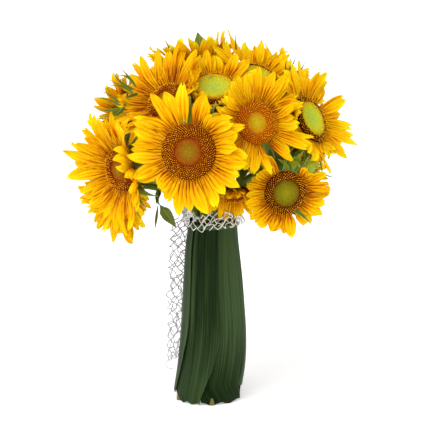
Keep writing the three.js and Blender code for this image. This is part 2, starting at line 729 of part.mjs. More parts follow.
const COLOURS = {
  petal: 0xf6b400, darkDisc: 0x6b3d16, greenDisc: 0xa9a72e, stem: 0x5c7a2c, bud: 0x8da33a, wrap: 0x24401f,
  binding: 0x34472b, net: 0xd9d3c2,
};
const bunch = new THREE.Group();

function addMesh(parent, name, geometry, color, roughness) {
  const mesh = new THREE.Mesh(geometry, new THREE.MeshStandardMaterial({ color, roughness, metalness: 0 }));
  mesh.name = name;
  parent.add(mesh);
  return mesh;
}

const slots = neckSlots();
const flowers = BLOOMS.map((bloom) => {
  const matrix = headMatrix(bloom);
  const curve = leadStem(slots[bloom.name], HEADS.find(({ name }) => name === bloom.name));
  const stem = solidOf(stemGeometry(stemPoints(slots[bloom.name], curve)));
  lay(`${bloom.name}_disc`, solidOf(discGeometry(bloom), matrix));
  lay(`${bloom.name}_petals`, solidOf(petalsGeometry(bloom, []), matrix));
  lay(`${bloom.name}_stem`, solidOf(calyxGeometry(bloom, []), matrix));
  lay(`${bloom.name}_stem`, stem);
  return { bloom, matrix, curve, stem };
});

// The side stem with its two buds.
const budCurve = leadStem(slots.bud, HEADS.find(({ name }) => name === 'bud'));
const sideStem = solidOf(stemGeometry(stemPoints(slots.bud, budCurve)));
const budParts = [sideStem, budSolid(BUD), twigSolid(budCurve), budSolid(SIDE_BUD)];
budParts.forEach((solid) => lay('bud_stem', solid));

// The wrap, the binding and the net.
WRAPS.forEach((wrap, order) => {
  const geometry = wrapGeometry(wrap, order);
  lay(wrap.name, solidOf(geometry));
  addMesh(bunch, wrap.name, geometry, COLOURS.wrap, 0.45);
});
const binding = bindingGeometry();
lay('binding', solidOf(binding));
addMesh(bunch, 'binding', binding, COLOURS.binding, 0.9);
const net = netSolid();
lay('net', net);
addMesh(bunch, 'net', geometryOf(net), COLOURS.net, 0.95);

// The petals: each tries to lie as it grew, and else bends or stays shorter until it is clear.
function petalLength(bloom, side) {
  const angle = ((side + 0.5) * 360) / PETAL_COUNT;
  const arc = (bloom.arcs ?? []).find(([from, to]) => (angle - from + 360) % 360 < to - from);
  return bloom.petal * (arc ? arc[2] : 1);
}

function growPetal({ bloom, matrix }, side) {
  const layer = PETAL_LAYERS[side % 2];
  const length = petalLength(bloom, side);
  const seed = BLOOMS.indexOf(bloom) * PETAL_COUNT + side;
  const root = flatMatrix(ringOuter(bloom), ringMiddle, side, PETAL_COUNT);
  const trials = PETAL_SCALES.flatMap((scale) => PETAL_TURNS.map((raise) => ({
    length: length * scale * lerp(...PETAL_LENGTHS, draw(1, seed)),
    width: PETAL_FILL * flatWidth(ringOuter(bloom) + PETAL_WIDEST * length * scale, PETAL_COUNT),
    thickness: PETAL_THICKNESS,
    outline: PETAL_OUTLINE,
    root: { width: flatWidth(ringOuter(bloom), PETAL_COUNT), height: RING_TOP - RING_FOOT },
    rise: bloom.raise + layer.lift + raise,
    bend: layer.bend,
    sway: lerp(-PETAL_SWAY, PETAL_SWAY, draw(2, seed)),
  })));
  return firstClearBlade(`${bloom.name}_petals`, trials, () => matrix.clone().multiply(root));
}

// The bracts, behind the petals.
function growBract({ bloom, matrix }, side) {
  const root = flatMatrix(calyxRadius(bloom), CALYX_TOP - CALYX_RIM / 2, side, BRACT_COUNT);
  const trials = BRACT_SCALES.flatMap((scale) => BRACT_TURNS.map((raise) => ({
    length: bloom.petal * BRACT_LENGTH * scale,
    width: BRACT_WIDTH,
    thickness: PETAL_THICKNESS,
    outline: BRACT_OUTLINE,
    root: { width: flatWidth(calyxRadius(bloom), BRACT_COUNT), height: CALYX_RIM },
    rise: bloom.raise / 2 + raise,
    bend: BRACT_BEND,
  })));
  return firstClearBlade(`${bloom.name}_stem`, trials, () => matrix.clone().multiply(root));
}

const inFrame = (blades, matrix) => blades.map((sections) => sections && moved(sections, matrix));

for (const flower of flowers) flower.petals = times(PETAL_COUNT, (side) => growPetal(flower, side));
for (const flower of flowers) flower.bracts = times(BRACT_COUNT, (side) => growBract(flower, side));

const curves = { bud: budCurve };
for (const { bloom, curve } of flowers) curves[bloom.name] = curve;
const grown = { bud: budParts };
for (const { bloom, stem } of flowers) grown[bloom.name] = [stem];
const shootCurve = shootLine(curves.left);
grown.left.push(solidOf(tube(shootCurve.getPoints(TWIG_STEPS), SHOOT.radius, SHOOT.sides)));
for (const leaf of LEAVES) {
  const solid = growLeaf(leaf, leaf.shoot ? shootCurve : curves[leaf.stem]);
  if (solid) grown[leaf.stem].push(solid);
}

for (const { bloom, matrix, petals, bracts } of flowers) {
  const head = new THREE.Group();
  head.applyMatrix4(matrix);
  bunch.add(head);
  const inHead = new THREE.Matrix4().copy(matrix).invert();
  const calyx = solidOf(calyxGeometry(bloom, inFrame(bracts, inHead)), matrix);
  const discColour = bloom.green ? COLOURS.greenDisc : COLOURS.darkDisc;
  addMesh(head, `${bloom.name}_disc`, discGeometry(bloom), discColour, 0.9);
  addMesh(head, `${bloom.name}_petals`, petalsGeometry(bloom, inFrame(petals, inHead)), COLOURS.petal, 0.6);
  const green = joined([...grown[bloom.name], calyx]);
  addMesh(bunch, `${bloom.name}_stem`, geometryOf(green), COLOURS.stem, 0.7);
}
addMesh(bunch, 'bud_stem', geometryOf(joined(grown.bud)), COLOURS.bud, 0.7);

export default bunch;
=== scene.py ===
import math
import bpy
import numpy as np
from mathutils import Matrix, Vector


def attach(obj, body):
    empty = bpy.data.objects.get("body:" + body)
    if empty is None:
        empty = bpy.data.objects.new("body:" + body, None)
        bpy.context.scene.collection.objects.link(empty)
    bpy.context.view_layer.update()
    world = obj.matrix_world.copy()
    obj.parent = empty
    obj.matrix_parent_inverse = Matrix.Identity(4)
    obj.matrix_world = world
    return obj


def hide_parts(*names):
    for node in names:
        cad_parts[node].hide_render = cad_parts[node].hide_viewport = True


# A bunch of sunflowers that stands on its cut stem ends. Lengths are in millimetres and angles in
# degrees until a piece is made, which is in metres. +Z is up, and the front faces -Y.

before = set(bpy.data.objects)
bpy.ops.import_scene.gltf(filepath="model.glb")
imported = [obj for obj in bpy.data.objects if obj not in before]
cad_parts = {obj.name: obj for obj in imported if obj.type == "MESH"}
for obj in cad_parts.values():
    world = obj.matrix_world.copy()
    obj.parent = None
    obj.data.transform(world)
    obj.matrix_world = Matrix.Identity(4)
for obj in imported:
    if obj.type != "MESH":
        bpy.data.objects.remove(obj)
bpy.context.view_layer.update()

MM = 0.001
GOLDEN_ANGLE = math.pi * (3 - math.sqrt(5))
rad = math.radians

# ---------- What is in the bunch ----------

# Each flower: its disc's centre, yaw, pitch and radius, its petals' length and cupping, its stem's
# place in the neck, the look of its eye and how far its petals' yellow turns to orange. Some have
# their own steps between rays (step) and widths of rays (fill), longer bracts (leafy), a straighter
# stem (tuck) or a foot moved aside (foot_shift). Arcs of rays that differ are given by their two
# angles, the factor on their length and their forward curl in radians; a length of 0 leaves them out.
FLOWERS = {
    "front": dict(at=(-24, -112, 329), yaw=-15, pitch=8, disc=33, petal=39, cup=4,
                  slot=(-12, -19.1), eye="brown", warmth=0.3, step=10.5, fill=(0.75, 1.08), leafy=1.3,
                  arcs=((95, 128, 1.2, 0), (-142, -118, 0.62, 0.5), (2, 24, 0.8, 0.4), (24, 48, 0.9, 0),
                        (48, 60, 0.4, 0))),
    "centre": dict(at=(57, -92, 361), yaw=28, pitch=15, disc=25.5, petal=37, cup=16,
                   slot=(7.8, -7.8), eye="amber", warmth=0.35,
                   arcs=((-80, -58, 0, 0), (-38, -12, 1.3, 0), (-12, 12, 0.8, 0.9), (12, 62, 1.1, 0),
                         (100, 165, 0.85, 0))),
    "low_right": dict(at=(92, -85, 276), yaw=15, pitch=-4, disc=26, petal=26, cup=0,
                      slot=(14.5, -17.3), eye="olive", warmth=0.42, tuck=0.42, step=10, fill=(0.78, 1.08),
                      arcs=((50, 104, 0, 0), (25, 50, 0.62, 1.2), (104, 116, 2.2, 2.3),
                            (116, 150, 0.8, 1.4), (-30, 25, 1.14, 0), (-150, -112, 0.9, 0))),
    "left": dict(at=(-109, -57, 299), yaw=-48, pitch=-5, disc=26, petal=54, cup=28,
                 slot=(-20.9, -8.4), foot_shift=(-3.5, -1.5), eye="brown", warmth=0.3,
                 arcs=((60, 130, 0.9, 0), (-60, -22, 1, 0.1), (-22, 50, 0.66, 1), (160, 186, 1.1, 0))),
    "right": dict(at=(125, -40, 360), yaw=55, pitch=25, disc=29, petal=46, cup=18,
                  slot=(20.9, 8.4), eye="ringed", warmth=0.1,
                  arcs=((160, 225, 0.9, 0.7), (130, 160, 0.7, -0.4), (-60, -20, 0.95, 0),
                        (-110, -92, 1.0, 0), (-92, -60, 0.75, 0.2), (12, 28, 1.15, 0), (45, 62, 1.12, 0))),
    "upper_left": dict(at=(-54, -42, 385), yaw=-45, pitch=42, disc=24, petal=48, cup=23,
                       slot=(-10.6, -2.8), eye="brown", warmth=0.6, leafy=1.2,
                       arcs=((-70, 50, 1, 0.2), (70, 90, 0.9, 0), (90, 112, 1.1, 0), (112, 136, 0.95, 0),
                             (136, 180, 1.2, 0))),
    "top_front": dict(at=(6, -48, 399), yaw=0, pitch=58, disc=29, petal=33, cup=24,
                      slot=(-2.9, -10.6), eye="lime", warmth=0.2,
                      arcs=((-150, -30, 0.5, 0.5), (150, 210, 1.7, 0))),
    "top_right": dict(at=(61.5, -5, 407.5), yaw=35, pitch=55, disc=27, petal=40, cup=20,
                      slot=(10.6, 2.8), eye="ringed", warmth=0.1, leafy=1.3,
                      arcs=((55, 90, 0.88, 0), (95, 135, 1.12, 0))),
    "low_left": dict(at=(-115, -22, 261), yaw=-10, pitch=-25, disc=21, petal=46, cup=10,
                     slot=(-21.9, 5.5), eye="lime", warmth=0.3, leafy=0.6,
                     arcs=((-142, -112, 0.85, 0), (-108, -52, 1.1, 0))),
    "low_front": dict(at=(31, -57, 268), yaw=5, pitch=-62, disc=20, petal=29, cup=48,
                      slot=(1.5, -22.5), foot_shift=(1, -2), eye="brown", warmth=0.6),
    "top_left": dict(at=(-13, 34, 422), yaw=-160, pitch=80, disc=24, petal=44, cup=30,
                     slot=(0, 0), eye="lime", warmth=0.05, leafy=1.3,
                     arcs=((0, 45, 1.1, 0), (45, 72, 1.15, 0), (72, 100, 0.85, 0), (150, 210, 0.85, 0),
                           (250, 290, 0.7, 0))),
    "far_left": dict(at=(-105, 18, 357), yaw=-110, pitch=15, disc=24, petal=36, cup=28,
                     slot=(-7.8, 7.8), eye="brown", warmth=0.55, leafy=1.1,
                     arcs=((-30, 80, 1.18, 0),)),
    "high_right": dict(at=(105, 45, 389), yaw=70, pitch=35, disc=25, petal=42, cup=10,
                       slot=(2.9, 10.6), eye="ringed", warmth=0.15,
                       arcs=((0, 25, 1.15, 0), (50, 85, 0.9, 0))),
    "back": dict(at=(21, 105, 342), yaw=180, pitch=20, disc=30, petal=45, cup=6,
                 slot=(-1.5, 22.5), eye="brown", warmth=0.3),
    "back_left": dict(at=(-77, 85, 331), yaw=-145, pitch=15, disc=27, petal=43, cup=8,
                      slot=(-14.5, 17.3), eye="olive", warmth=0.35),
    "back_right": dict(at=(98, 75, 287), yaw=140, pitch=0, disc=26, petal=42, cup=4,
                       slot=(12, 19.1), eye="amber", warmth=0.3),
}
BUDS = [dict(at=(128, -44, 300), yaw=55, pitch=15), dict(at=(106, -56, 307), yaw=20, pitch=30)]
BUD_RADIUS, BUD_LENGTH = 8.5, 17
BUD_SLOT = (21.9, -5.5)
TWIG_LEAVES, TWIG_RADIUS = 0.6, 2.5

# The large leaves: the flower whose stem carries it, its root, its tip, the way its face looks, its
# width, its droop and its paleness.
LEAVES = {
    "top": ("top_left", (-9.8, 26.4, 382.1), (11.2, -0.7, 426.8), (-0.66, 0.48, 0.59), 21, 10, 0.6),
    "crown": ("back", (17, 62, 322), (-15, 117, 455), (0.2, -0.92, 0.3), 66, 10, 0.9),
    "inner": ("centre", (32.9, -46.1, 334.4), (37.3, -98.8, 285.3), (0.24, -0.66, 0.71), 26, -15, 0.1),
    "low_inner": ("low_right", (61.4, -36.1, 273.1), (66.7, -87.8, 307.7), (0.97, 0.19, 0.16), 30, -25, 0.1),
    "right": ("right", (79.2, -12.3, 329.5), (119.6, -65.4, 322.1), (0.42, 0.17, 0.89), 30, -30, 0.5),
    "bud": ("bud", (95.4, -24.9, 289.8), (149.7, -47.9, 290), (0.05, 0.1, 0.99), 20, -20, 0.7),
    "shoot_upper": ("left", (-57, -37, 281), (-64, -47, 257), (-0.5, -0.8, 0.2), 9, -20, 0.1),
    "shoot_broad": ("left", (-62, -45, 258), (-40, -47, 227.5), (-0.3, -0.9, 0.3), 14, 15, 0.6),
    "shoot_narrow": ("left", (-62, -45, 258), (-66, -46, 226), (-0.6, -0.8, 0.1), 4.5, 10, 0.4),
    "left": ("far_left", (-57.4, 5.9, 335.1), (-126.6, -22.5, 318.1), (-0.34, 0.25, 0.91), 32, -25, 0.2),
    "back_left": ("back_left", (-36.7, 38.8, 300.7), (-69.7, 77.7, 258.3), (-0.46, 0.46, 0.76), 34, -25, 0.2),
    "back": ("back", (16.6, 56.8, 314.4), (21.1, 118.5, 284.2), (0.2, 0.43, 0.88), 36, -25, 0.3),
    "back_right": ("back_right", (54.2, 37.6, 277.7), (111.7, 36, 236.2), (0.58, 0.28, 0.77), 34, -20, 0.3),
    "high_right": ("high_right", (66.3, 49.9, 357.1), (129.5, 29.9, 338.1), (0.41, 0.52, 0.75), 32, -25, 0.3),
}

# Long bracts that stand clear of their flowers, from root to tip, and their widths.
SPRAYS = {
    "front": (((-27, -104, 359), (-22, -94, 394), 11),),
    "upper_left": (((-91, -36, 395), (-117, -40, 419), 3.6), ((-92, -37, 391), (-120, -42, 400), 4),
                   ((-88, -36, 398), (-107, -40, 422), 3), ((-94, -37, 393), (-122, -38, 408), 2.6),
                   ((-86, -36, 390), (-102, -44, 385), 4.5), ((-90, -34, 401), (-110, -36, 412), 4)),
    "far_left": (((-107, -36, 376), (-140, -40, 386), 3), ((-106, -38, 372), (-137, -43, 373), 4),
                 ((-104, -38, 368), (-128, -44, 361), 3.6), ((-108, -36, 379), (-131, -38, 394), 2.6),
                 ((-102, -38, 374), (-120, -46, 363), 4.5), ((-108, -42, 350), (-136, -46, 361), 3),
                 ((-109, -44, 346), (-129, -48, 344), 4), ((-106, -43, 353), (-126, -46, 366), 3.4),
                 ((-105, -44, 344), (-119, -50, 334), 4)),
    "low_right": (((98, -80, 256), (124, -82, 236), 4.5),),
    "top_left": (((-48, 20, 432), (-58, 18, 455), 2), ((34, 20, 436), (33, 16, 461), 2)),
    "high_right": (((98, 20, 412), (108, 18, 432), 2), ((104, 20, 408), (120, 20, 426), 2),
                   ((96, 22, 412), (98, 22, 428), 1.6)),
}

# The drooping side shoot at the left, from its flower's stem to its three leaves.
SHOOT = ((-36, -15.3, 272), (-56, -33, 294), (-64.7, -43, 289), (-62, -45, 257))
SHOOT_RADIUS = 1.4

# A flower's head, from the disc's plane backwards.
RING_GAP, RING_WALL = 0.35, 2.4
RING_TOP, RING_FOOT = -2.2, -4.6
CALYX_TOP = -5.85
CALYX_SLOPE = 0.42
DISC_CROWN = ((0, 0.38, 0.78, 1), (1.2, 1.6, 3.2, -0.4))

# The stems, from the cut ends through the handle and the neck.
STEM_RADIUS, STALK_SIDES = 5, 14
HANDLE_ROWS, STALK_ROWS = 14, 34
NECK = np.array((5.7, 0, 228))
FOOT_SPREAD = 1.57
HANDLE_BEND, HANDLE_BEND_SPREAD, HANDLE_BEND_LEAN = 90, 0.52, 0.6
STEM_RISE = 0.4
STEM_TUCK = 0.3

# The handle's left and right edges and the turn of its leaves, by height.
HANDLE_Z = (0.6, 45, 90, 208, 228)
HANDLE_LEFT = (-46.5, -40, -36.5, -29.2, -24.5)
HANDLE_RIGHT = (39.5, 47.5, 48.6, 37, 35.5)
HANDLE_TWIST = (-27, -13, 0, 0, 0)
WRAP_TOP, WRAP_SPAN, WRAP_TUCK, WRAP_THICKNESS = 229, 80, 2.3, 0.8
WRAP_FREE_EDGE = -77
# A painted highlight along a strap leaf's free edge, and painted shade where the leaf runs under its
# neighbour.
EDGE_HIGHLIGHT, UNDERLAP_SHADE = 0.19, 0.12
# Where a painted highlight stripe lies across a strap leaf, as a share of its width, and how wide it is.
HIGHLIGHT_PLACE, HIGHLIGHT_WIDTH = 0.69, 0.06
# Each strap leaf: where its foot stands, its place round the handle, how light it is at its foot and at its
# top, and for some a cut foot, a painted highlight stripe, a longer reach or a sunken body.
WRAPS = {
    "wrap_front_left": dict(foot=0.6, place=0, tones=(0.32, 0.1), cut=0.55, painted_highlight=0.7),
    "wrap_front_right": dict(foot=0.6, place=1, tones=(0.1, 0.72), reach=22),
    "wrap_right": dict(foot=16, place=2, tones=(0.6, 0.8), sink=0.4),
    "wrap_back_right": dict(foot=2, place=3, tones=(0.3, 0.4)),
    "wrap_back_left": dict(foot=0.6, place=4, tones=(0.4, 0.6)),
    "wrap_left": dict(foot=8, place=5, tones=(0.3, 0.4)),
}
BINDING_LOW, BINDING_HIGH, BINDING_TURNS = 221, 227, 4
TAPE_HALF, TAPE_THICKNESS = 1.3, 0.4


# ---------- Lines, directions and random draws ----------

def unit(vector):
    return vector / np.linalg.norm(vector, axis=-1, keepdims=True)


def draw(name):
    """The random draws of one piece, the same in every run."""
    return np.random.default_rng(sum(ord(letter) * (place + 7) for place, letter in enumerate(name)))


def ease(values, low, high):
    """From 0 at low to 1 at high, with soft ends."""
    share = np.clip((values - low) / (high - low), 0, 1)
    return share * share * (3 - 2 * share)


def through(stations, points, shares):
    """A smooth line through a few points, cut at the given shares."""
    degree = len(stations) - 1
    return np.stack([np.polyval(np.polyfit(stations, course, degree), shares) for course in points.T], 1)


def bezier(corners, shares):
    a, b, c, d = [np.asarray(corner, float) for corner in corners]
    t = shares[:, None]
    return (1 - t) ** 3 * a + 3 * (1 - t) ** 2 * t * b + 3 * (1 - t) * t * t * c + t ** 3 * d


class Head:
    """The place of a flower or bud: its own +Z is the way it faces, +X level and +Y up its face."""

    def __init__(self, at, yaw, pitch):
        yaw, pitch = rad(yaw), rad(pitch)
        level = math.cos(pitch)
        self.at = np.array(at, float)
        self.front = np.array((math.sin(yaw) * level, -math.cos(yaw) * level, math.sin(pitch)))
        side = unit(np.cross((0, 0, 1), self.front))
        self.axes = np.array((side, np.cross(self.front, side), self.front))

    def outwards(self, points):
        return self.at + points @ self.axes

    def inwards(self, points):
        return (points - self.at) @ self.axes.T


def outward_line(turn, radius, level, length, slopes):
    """A line that leaves a head's axis at a turn, on slopes in radians, and the direction across it."""
    steps = length / (len(slopes) - 1) * np.stack((np.cos(slopes), np.sin(slopes)), 1)
    run = np.concatenate(([[0, 0]], np.cumsum(steps[:-1], axis=0)))
    out = np.array((math.cos(turn), math.sin(turn), 0))
    line = out * (radius + run[:, :1]) + np.array((0, 0, 1)) * (level + run[:, 1:])
    return line, np.array((-out[1], out[0], 0))


def whorls(rows, chance, stir):
    """The blades in rows round a head, each row half a step on: row, turn, length and slope."""
    for row, (count, length, rise) in enumerate(rows):
        for place in range(count):
            yield row, (place + 0.5 * row + chance.normal(0, stir)) * math.tau / count, length, rise


# ---------- Growing meshes ----------

class Growth:
    """The points, faces and painted places of one piece, gathered part by part."""

    def __init__(self):
        self.points, self.places, self.faces, self.skins = [], [], [], []
        self.count = 0

    def add(self, points, faces, places, skin=0):
        self.points.append(points)
        self.places.append(np.broadcast_to(places, points.shape))
        self.faces.append(np.asarray(faces) + self.count)
        self.skins.append(np.full(len(faces), skin))
        self.count += len(points)

    def sheet(self, grid, thickness, along, across, tone, skin=0):
        """A thin closed body under a grid of points, whose rows run away from its root."""
        rows, columns = grid.shape[:2]
        up = unit(np.cross(np.gradient(grid, axis=0), np.gradient(grid, axis=1)))
        points = np.concatenate((grid, grid - up * thickness)).reshape(-1, 3)
        number = np.arange(rows * columns).reshape(rows, columns)
        under = number + rows * columns
        quads = [
            (number[:-1, :-1], number[1:, :-1], number[1:, 1:], number[:-1, 1:]),
            (under[:-1, :-1], under[:-1, 1:], under[1:, 1:], under[1:, :-1]),
            (number[:-1, 0], under[:-1, 0], under[1:, 0], number[1:, 0]),
            (number[:-1, -1], number[1:, -1], under[1:, -1], under[:-1, -1]),
            (number[0, :-1], number[0, 1:], under[0, 1:], under[0, :-1]),
            (number[-1, :-1], under[-1, :-1], under[-1, 1:], number[-1, 1:]),
        ]
        faces = np.concatenate([np.stack([side.ravel() for side in quad], 1) for quad in quads])
        top = np.stack(np.broadcast_arrays(along, across, tone), -1).reshape(-1, 3)
        self.add(points, faces, np.concatenate((top, top + (0, 0, 1))), skin)

    def tube(self, line, radius, sides, tone=0.0, end_skin=0, side=(1.0, 0.013, 0.007)):
        """A round body along a line, closed at both ends. The radius may change along it."""
        across, up, _ = frames(line, np.asarray(side))
        turn = np.arange(sides) * math.tau / sides
        reach = np.broadcast_to(radius, len(line))[:, None, None]
        ring = across[:, None] * np.cos(turn)[:, None] + up[:, None] * np.sin(turn)[:, None]
        grid = line[:, None] + ring * reach
        self.walls(grid, turn, tone, 0, -1)
        self.cap(grid[0], line[0], tone, end_skin, -1)
        self.cap(grid[-1], line[-1], tone, end_skin, 1)

    def walls(self, grid, turn, tone, skin, order):
        """The faces round a body, whose grid has a row for each ring. Order -1 turns them over."""
        rows, sides = grid.shape[:2]
        number = np.arange(rows * sides).reshape(rows, sides)
        beside = np.roll(number, -1, axis=1)
        faces = np.stack([side.ravel() for side in (number[:-1], number[1:], beside[1:], beside[:-1])], 1)
        along = np.linspace(0, 1, rows)[:, None]
        places = np.stack(np.broadcast_arrays(along, turn / math.pi - 1, tone), -1)
        self.add(grid.reshape(-1, 3), faces[:, ::order], places.reshape(-1, 3), skin)

    def cap(self, rim, middle, tone, skin, order):
        """A flat end of a tube, ringed so that its pith can be painted."""
        sides = len(rim)
        rings = [rim, middle + (rim - middle) * 0.5]
        points = np.concatenate((*rings, [middle]))
        outer = np.arange(sides)
        following = np.roll(outer, -1)
        ring_faces = np.stack((outer, outer + sides, following + sides, following), 1)
        hub = np.full(sides, 2 * sides)
        hub_faces = np.stack((outer + sides, hub, hub, following + sides), 1)
        faces = np.concatenate((ring_faces, hub_faces))
        places = np.zeros((len(points), 3)) + (0, 0, tone)
        places[:sides, 0] = 1
        places[sides:2 * sides, 0] = 0.5
        self.add(points, faces[:, ::order], places, skin)

    def turned(self, profile, head, sides, tone=0.0, skin=0, ripple=None):
        """A body turned round a head's axis; its profile runs from the front backwards."""
        profile = np.asarray(profile, float)
        turn = np.arange(sides) * math.tau / sides
        radius = profile[:, 0][:, None] * (np.ones(sides) if ripple is None else ripple(turn))
        height = np.broadcast_to(profile[:, 1][:, None], radius.shape)
        grid = np.stack((radius * np.cos(turn), radius * np.sin(turn), height), -1)
        self.walls(head.outwards(grid), turn, tone, skin, 1)


def frames(line, side):
    """The directions across, up and ahead along a line, for a side that is about across it."""
    ahead = unit(np.gradient(line, axis=0))
    up = unit(np.cross(ahead, np.broadcast_to(side, ahead.shape)))
    return np.cross(up, ahead), up, ahead


def blade(growth, line, side, half, across, relief, tone, thickness, twist=0.0, notch=0.0, skin=0, head=None):
    """A leaf or petal over its middle line, in its head's frame if it has a head.

    Its half width and its relief run row by row, and a notch draws it back towards its root.
    """
    beside, up, ahead = frames(line, side)
    turn = np.broadcast_to(twist, len(line))[:, None]
    beside, up = beside * np.cos(turn) + up * np.sin(turn), up * np.cos(turn) - beside * np.sin(turn)
    grid = line[:, None] + beside[:, None] * (half[:, None] * across)[..., None]
    grid = grid + up[:, None] * relief[..., None]
    grid = grid - ahead[:, None] * np.broadcast_to(notch, relief.shape)[..., None]
    along = np.linspace(0, 1, len(line))[:, None]
    growth.sheet(head.outwards(grid) if head else grid, thickness, along, across, tone, skin)


def add_object(name, data):
    made = bpy.data.objects.new(name, data)
    bpy.context.scene.collection.objects.link(made)
    return made


def make(name, growth, finishes, slot, *stands_for):
    """Makes the piece of a growth, riding on the bunch in place of its CAD nodes.

    Of a face whose second and third corners are one, a triangle is made.
    """
    points = np.concatenate(growth.points) * MM
    corners = np.concatenate(growth.faces).tolist()
    faces = [face if face[2] != face[1] else (face[0], face[1], face[3]) for face in corners]
    mesh = bpy.data.meshes.new(name)
    mesh.from_pydata(points.tolist(), [], faces)
    place = mesh.attributes.new("place", "FLOAT_VECTOR", "POINT")
    place.data.foreach_set("vector", np.concatenate(growth.places).astype(np.float32).ravel())
    for finish in finishes:
        mesh.materials.append(finish)
    mesh.polygons.foreach_set("material_index", np.concatenate(growth.skins).astype(np.int32))
    mesh.shade_smooth()
    mesh.set_sharp_from_angle(angle=rad(55))
    piece = add_object(name, mesh)
    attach(piece, "root")
    if stands_for:
        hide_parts(*stands_for)


# ---------- Finishes ----------

class Wire:
    """A socket to reckon with: an expression on it adds Math nodes to its finish."""

    def __init__(self, finish, socket):
        self.finish, self.socket = finish, socket

    def reckon(self, operation, *values):
        return self.finish.node("ShaderNodeMath", dict(operation=operation), dict(enumerate(values)))

    def __add__(self, other):
        return self.reckon("ADD", self, other)

    def __sub__(self, other):
        return self.reckon("SUBTRACT", self, other)

    def __rsub__(self, other):
        return self.reckon("SUBTRACT", other, self)

    def __mul__(self, other):
        return self.reckon("MULTIPLY", self, other)

    def __gt__(self, other):
        return self.reckon("GREATER_THAN", self, other)

    def __abs__(self):
        return self.reckon("ABSOLUTE", self)

    def part(self):
        """What is left over whole numbers."""
        return self.reckon("FRACT", self)

    def between(self, low, high):
        """0 below low, 1 above high."""
        sockets = {0: self, 1: low, 2: high, 3: 0.0, 4: 1.0}
        return self.finish.node("ShaderNodeMapRange", dict(interpolation_type="SMOOTHSTEP"), sockets)

    __radd__ = __add__


class Finish:
    """A material under construction: its nodes and the constants of its shader."""

    def __init__(self, name, **constants):
        self.material = bpy.data.materials.new(name)
        self.material.use_nodes = True
        self.tree = self.material.node_tree
        self.shader = self.tree.nodes["Principled BSDF"]
        for words, value in constants.items():
            self.shader.inputs[words.replace("_", " ")].default_value = value

    def feed(self, socket, value):
        if isinstance(value, Wire):
            self.tree.links.new(value.socket, socket)
        else:
            socket.default_value = value

    def node(self, kind, settings, sockets, output=0):
        """Adds a node, its settings first, then the values or wires of its sockets."""
        made = self.tree.nodes.new(kind)
        for words, value in settings.items():
            if words == "stops":
                set_stops(made.color_ramp, value)
            else:
                setattr(made, words, value)
        for key, value in sockets.items():
            self.feed(made.inputs[key], value)
        return Wire(self, made.outputs[output])

    def place(self):
        """How far along and across its part a point is, and the part's tone, which is over 1 underneath."""
        spot = self.node("ShaderNodeAttribute", dict(attribute_name="place"), {}, "Vector")
        return [self.node("ShaderNodeSeparateXYZ", {}, {0: spot}, axis) for axis in "XYZ"]

    def vector(self, x, y, z):
        return self.node("ShaderNodeCombineXYZ", {}, {0: x, 1: y, 2: z})

    def noise(self, scale, detail=3.0, vector=None, rough=0.5):
        """Soft noise around 0.5, over the object in metres or over the given vector."""
        if vector is None:
            vector = self.node("ShaderNodeTexCoord", {}, {}, "Object")
        sockets = {"Vector": vector, "Scale": scale, "Detail": detail, "Roughness": rough}
        return self.node("ShaderNodeTexNoise", {}, sockets)

    def ramp(self, value, *stops):
        return self.node("ShaderNodeValToRGB", dict(stops=stops), {0: value})

    def mix(self, share, one, other):
        return self.node("ShaderNodeMix", dict(data_type="RGBA"), {0: share, 6: one, 7: other}, 2)

    def bump(self, height, strength, depth):
        """Feeds the shader's normal with a relief, its depth in metres."""
        wire = self.node("ShaderNodeBump", {}, {"Height": height, "Strength": strength, "Distance": depth})
        self.feed(self.shader.inputs["Normal"], wire)

    def coat(self, colour, roughness=None):
        self.feed(self.shader.inputs["Base Color"], colour)
        if roughness is not None:
            self.feed(self.shader.inputs["Roughness"], roughness)
        return self.material


def set_stops(ramp, stops):
    while len(ramp.elements) < len(stops):
        ramp.elements.new(1.0)
    for element, (position, colour) in zip(ramp.elements, stops):
        element.position = position
        element.color = (*colour, 1)


def rgb(*colour):
    return (*colour, 1)


def petal_finish():
    """Yellow rays: lemon at the tips, gold in the middle and orange-brown at the base, with fine veins. The
    orange-brown at the base is partly their own colour and partly painted shade where the rays crowd
    together; darker lines along the pleats' valleys are painted shade.
    """
    finish = Finish("petal", Specular_IOR_Level=0.04, Subsurface_Weight=0.5, Subsurface_Scale=0.003,
                    Subsurface_Radius=(1.0, 0.55, 0.02))
    along, across, tone = finish.place()
    warmth = tone.part()
    veins = finish.noise(1.0, 3.0, finish.vector(across * 6.5, along * 1.1, tone * 60), 0.65)
    patches = finish.noise(60.0, 2.0)
    streaks = (veins.between(0.36, 0.62) - 0.5) * (0.44 - along * 0.28)
    # Painted shade: darker orange along the valleys of the pleats.
    groove_shade = (abs((across * 1.5 + 0.5).part() - 0.5) * 2).between(0.5, 0.95) * (0.4 - along * 0.34)
    # Darker towards the base: partly the rays' own orange-brown, partly painted shade where they crowd.
    depth = along * 0.72 + streaks - groove_shade + (patches - 0.5) * 0.45 - warmth * 0.45 + 0.34
    colour = finish.ramp(
        depth, (0.0, (0.22, 0.035, 0.0)), (0.1, (0.48, 0.115, 0.0)), (0.26, (0.76, 0.26, 0.0)),
        (0.5, (0.92, 0.4, 0.0)), (0.78, (0.98, 0.53, 0.001)), (1.0, (1.0, 0.69, 0.005)))
    finish.bump(veins, 0.5, 0.0009)
    return finish.coat(colour, 0.5 + patches * 0.2)
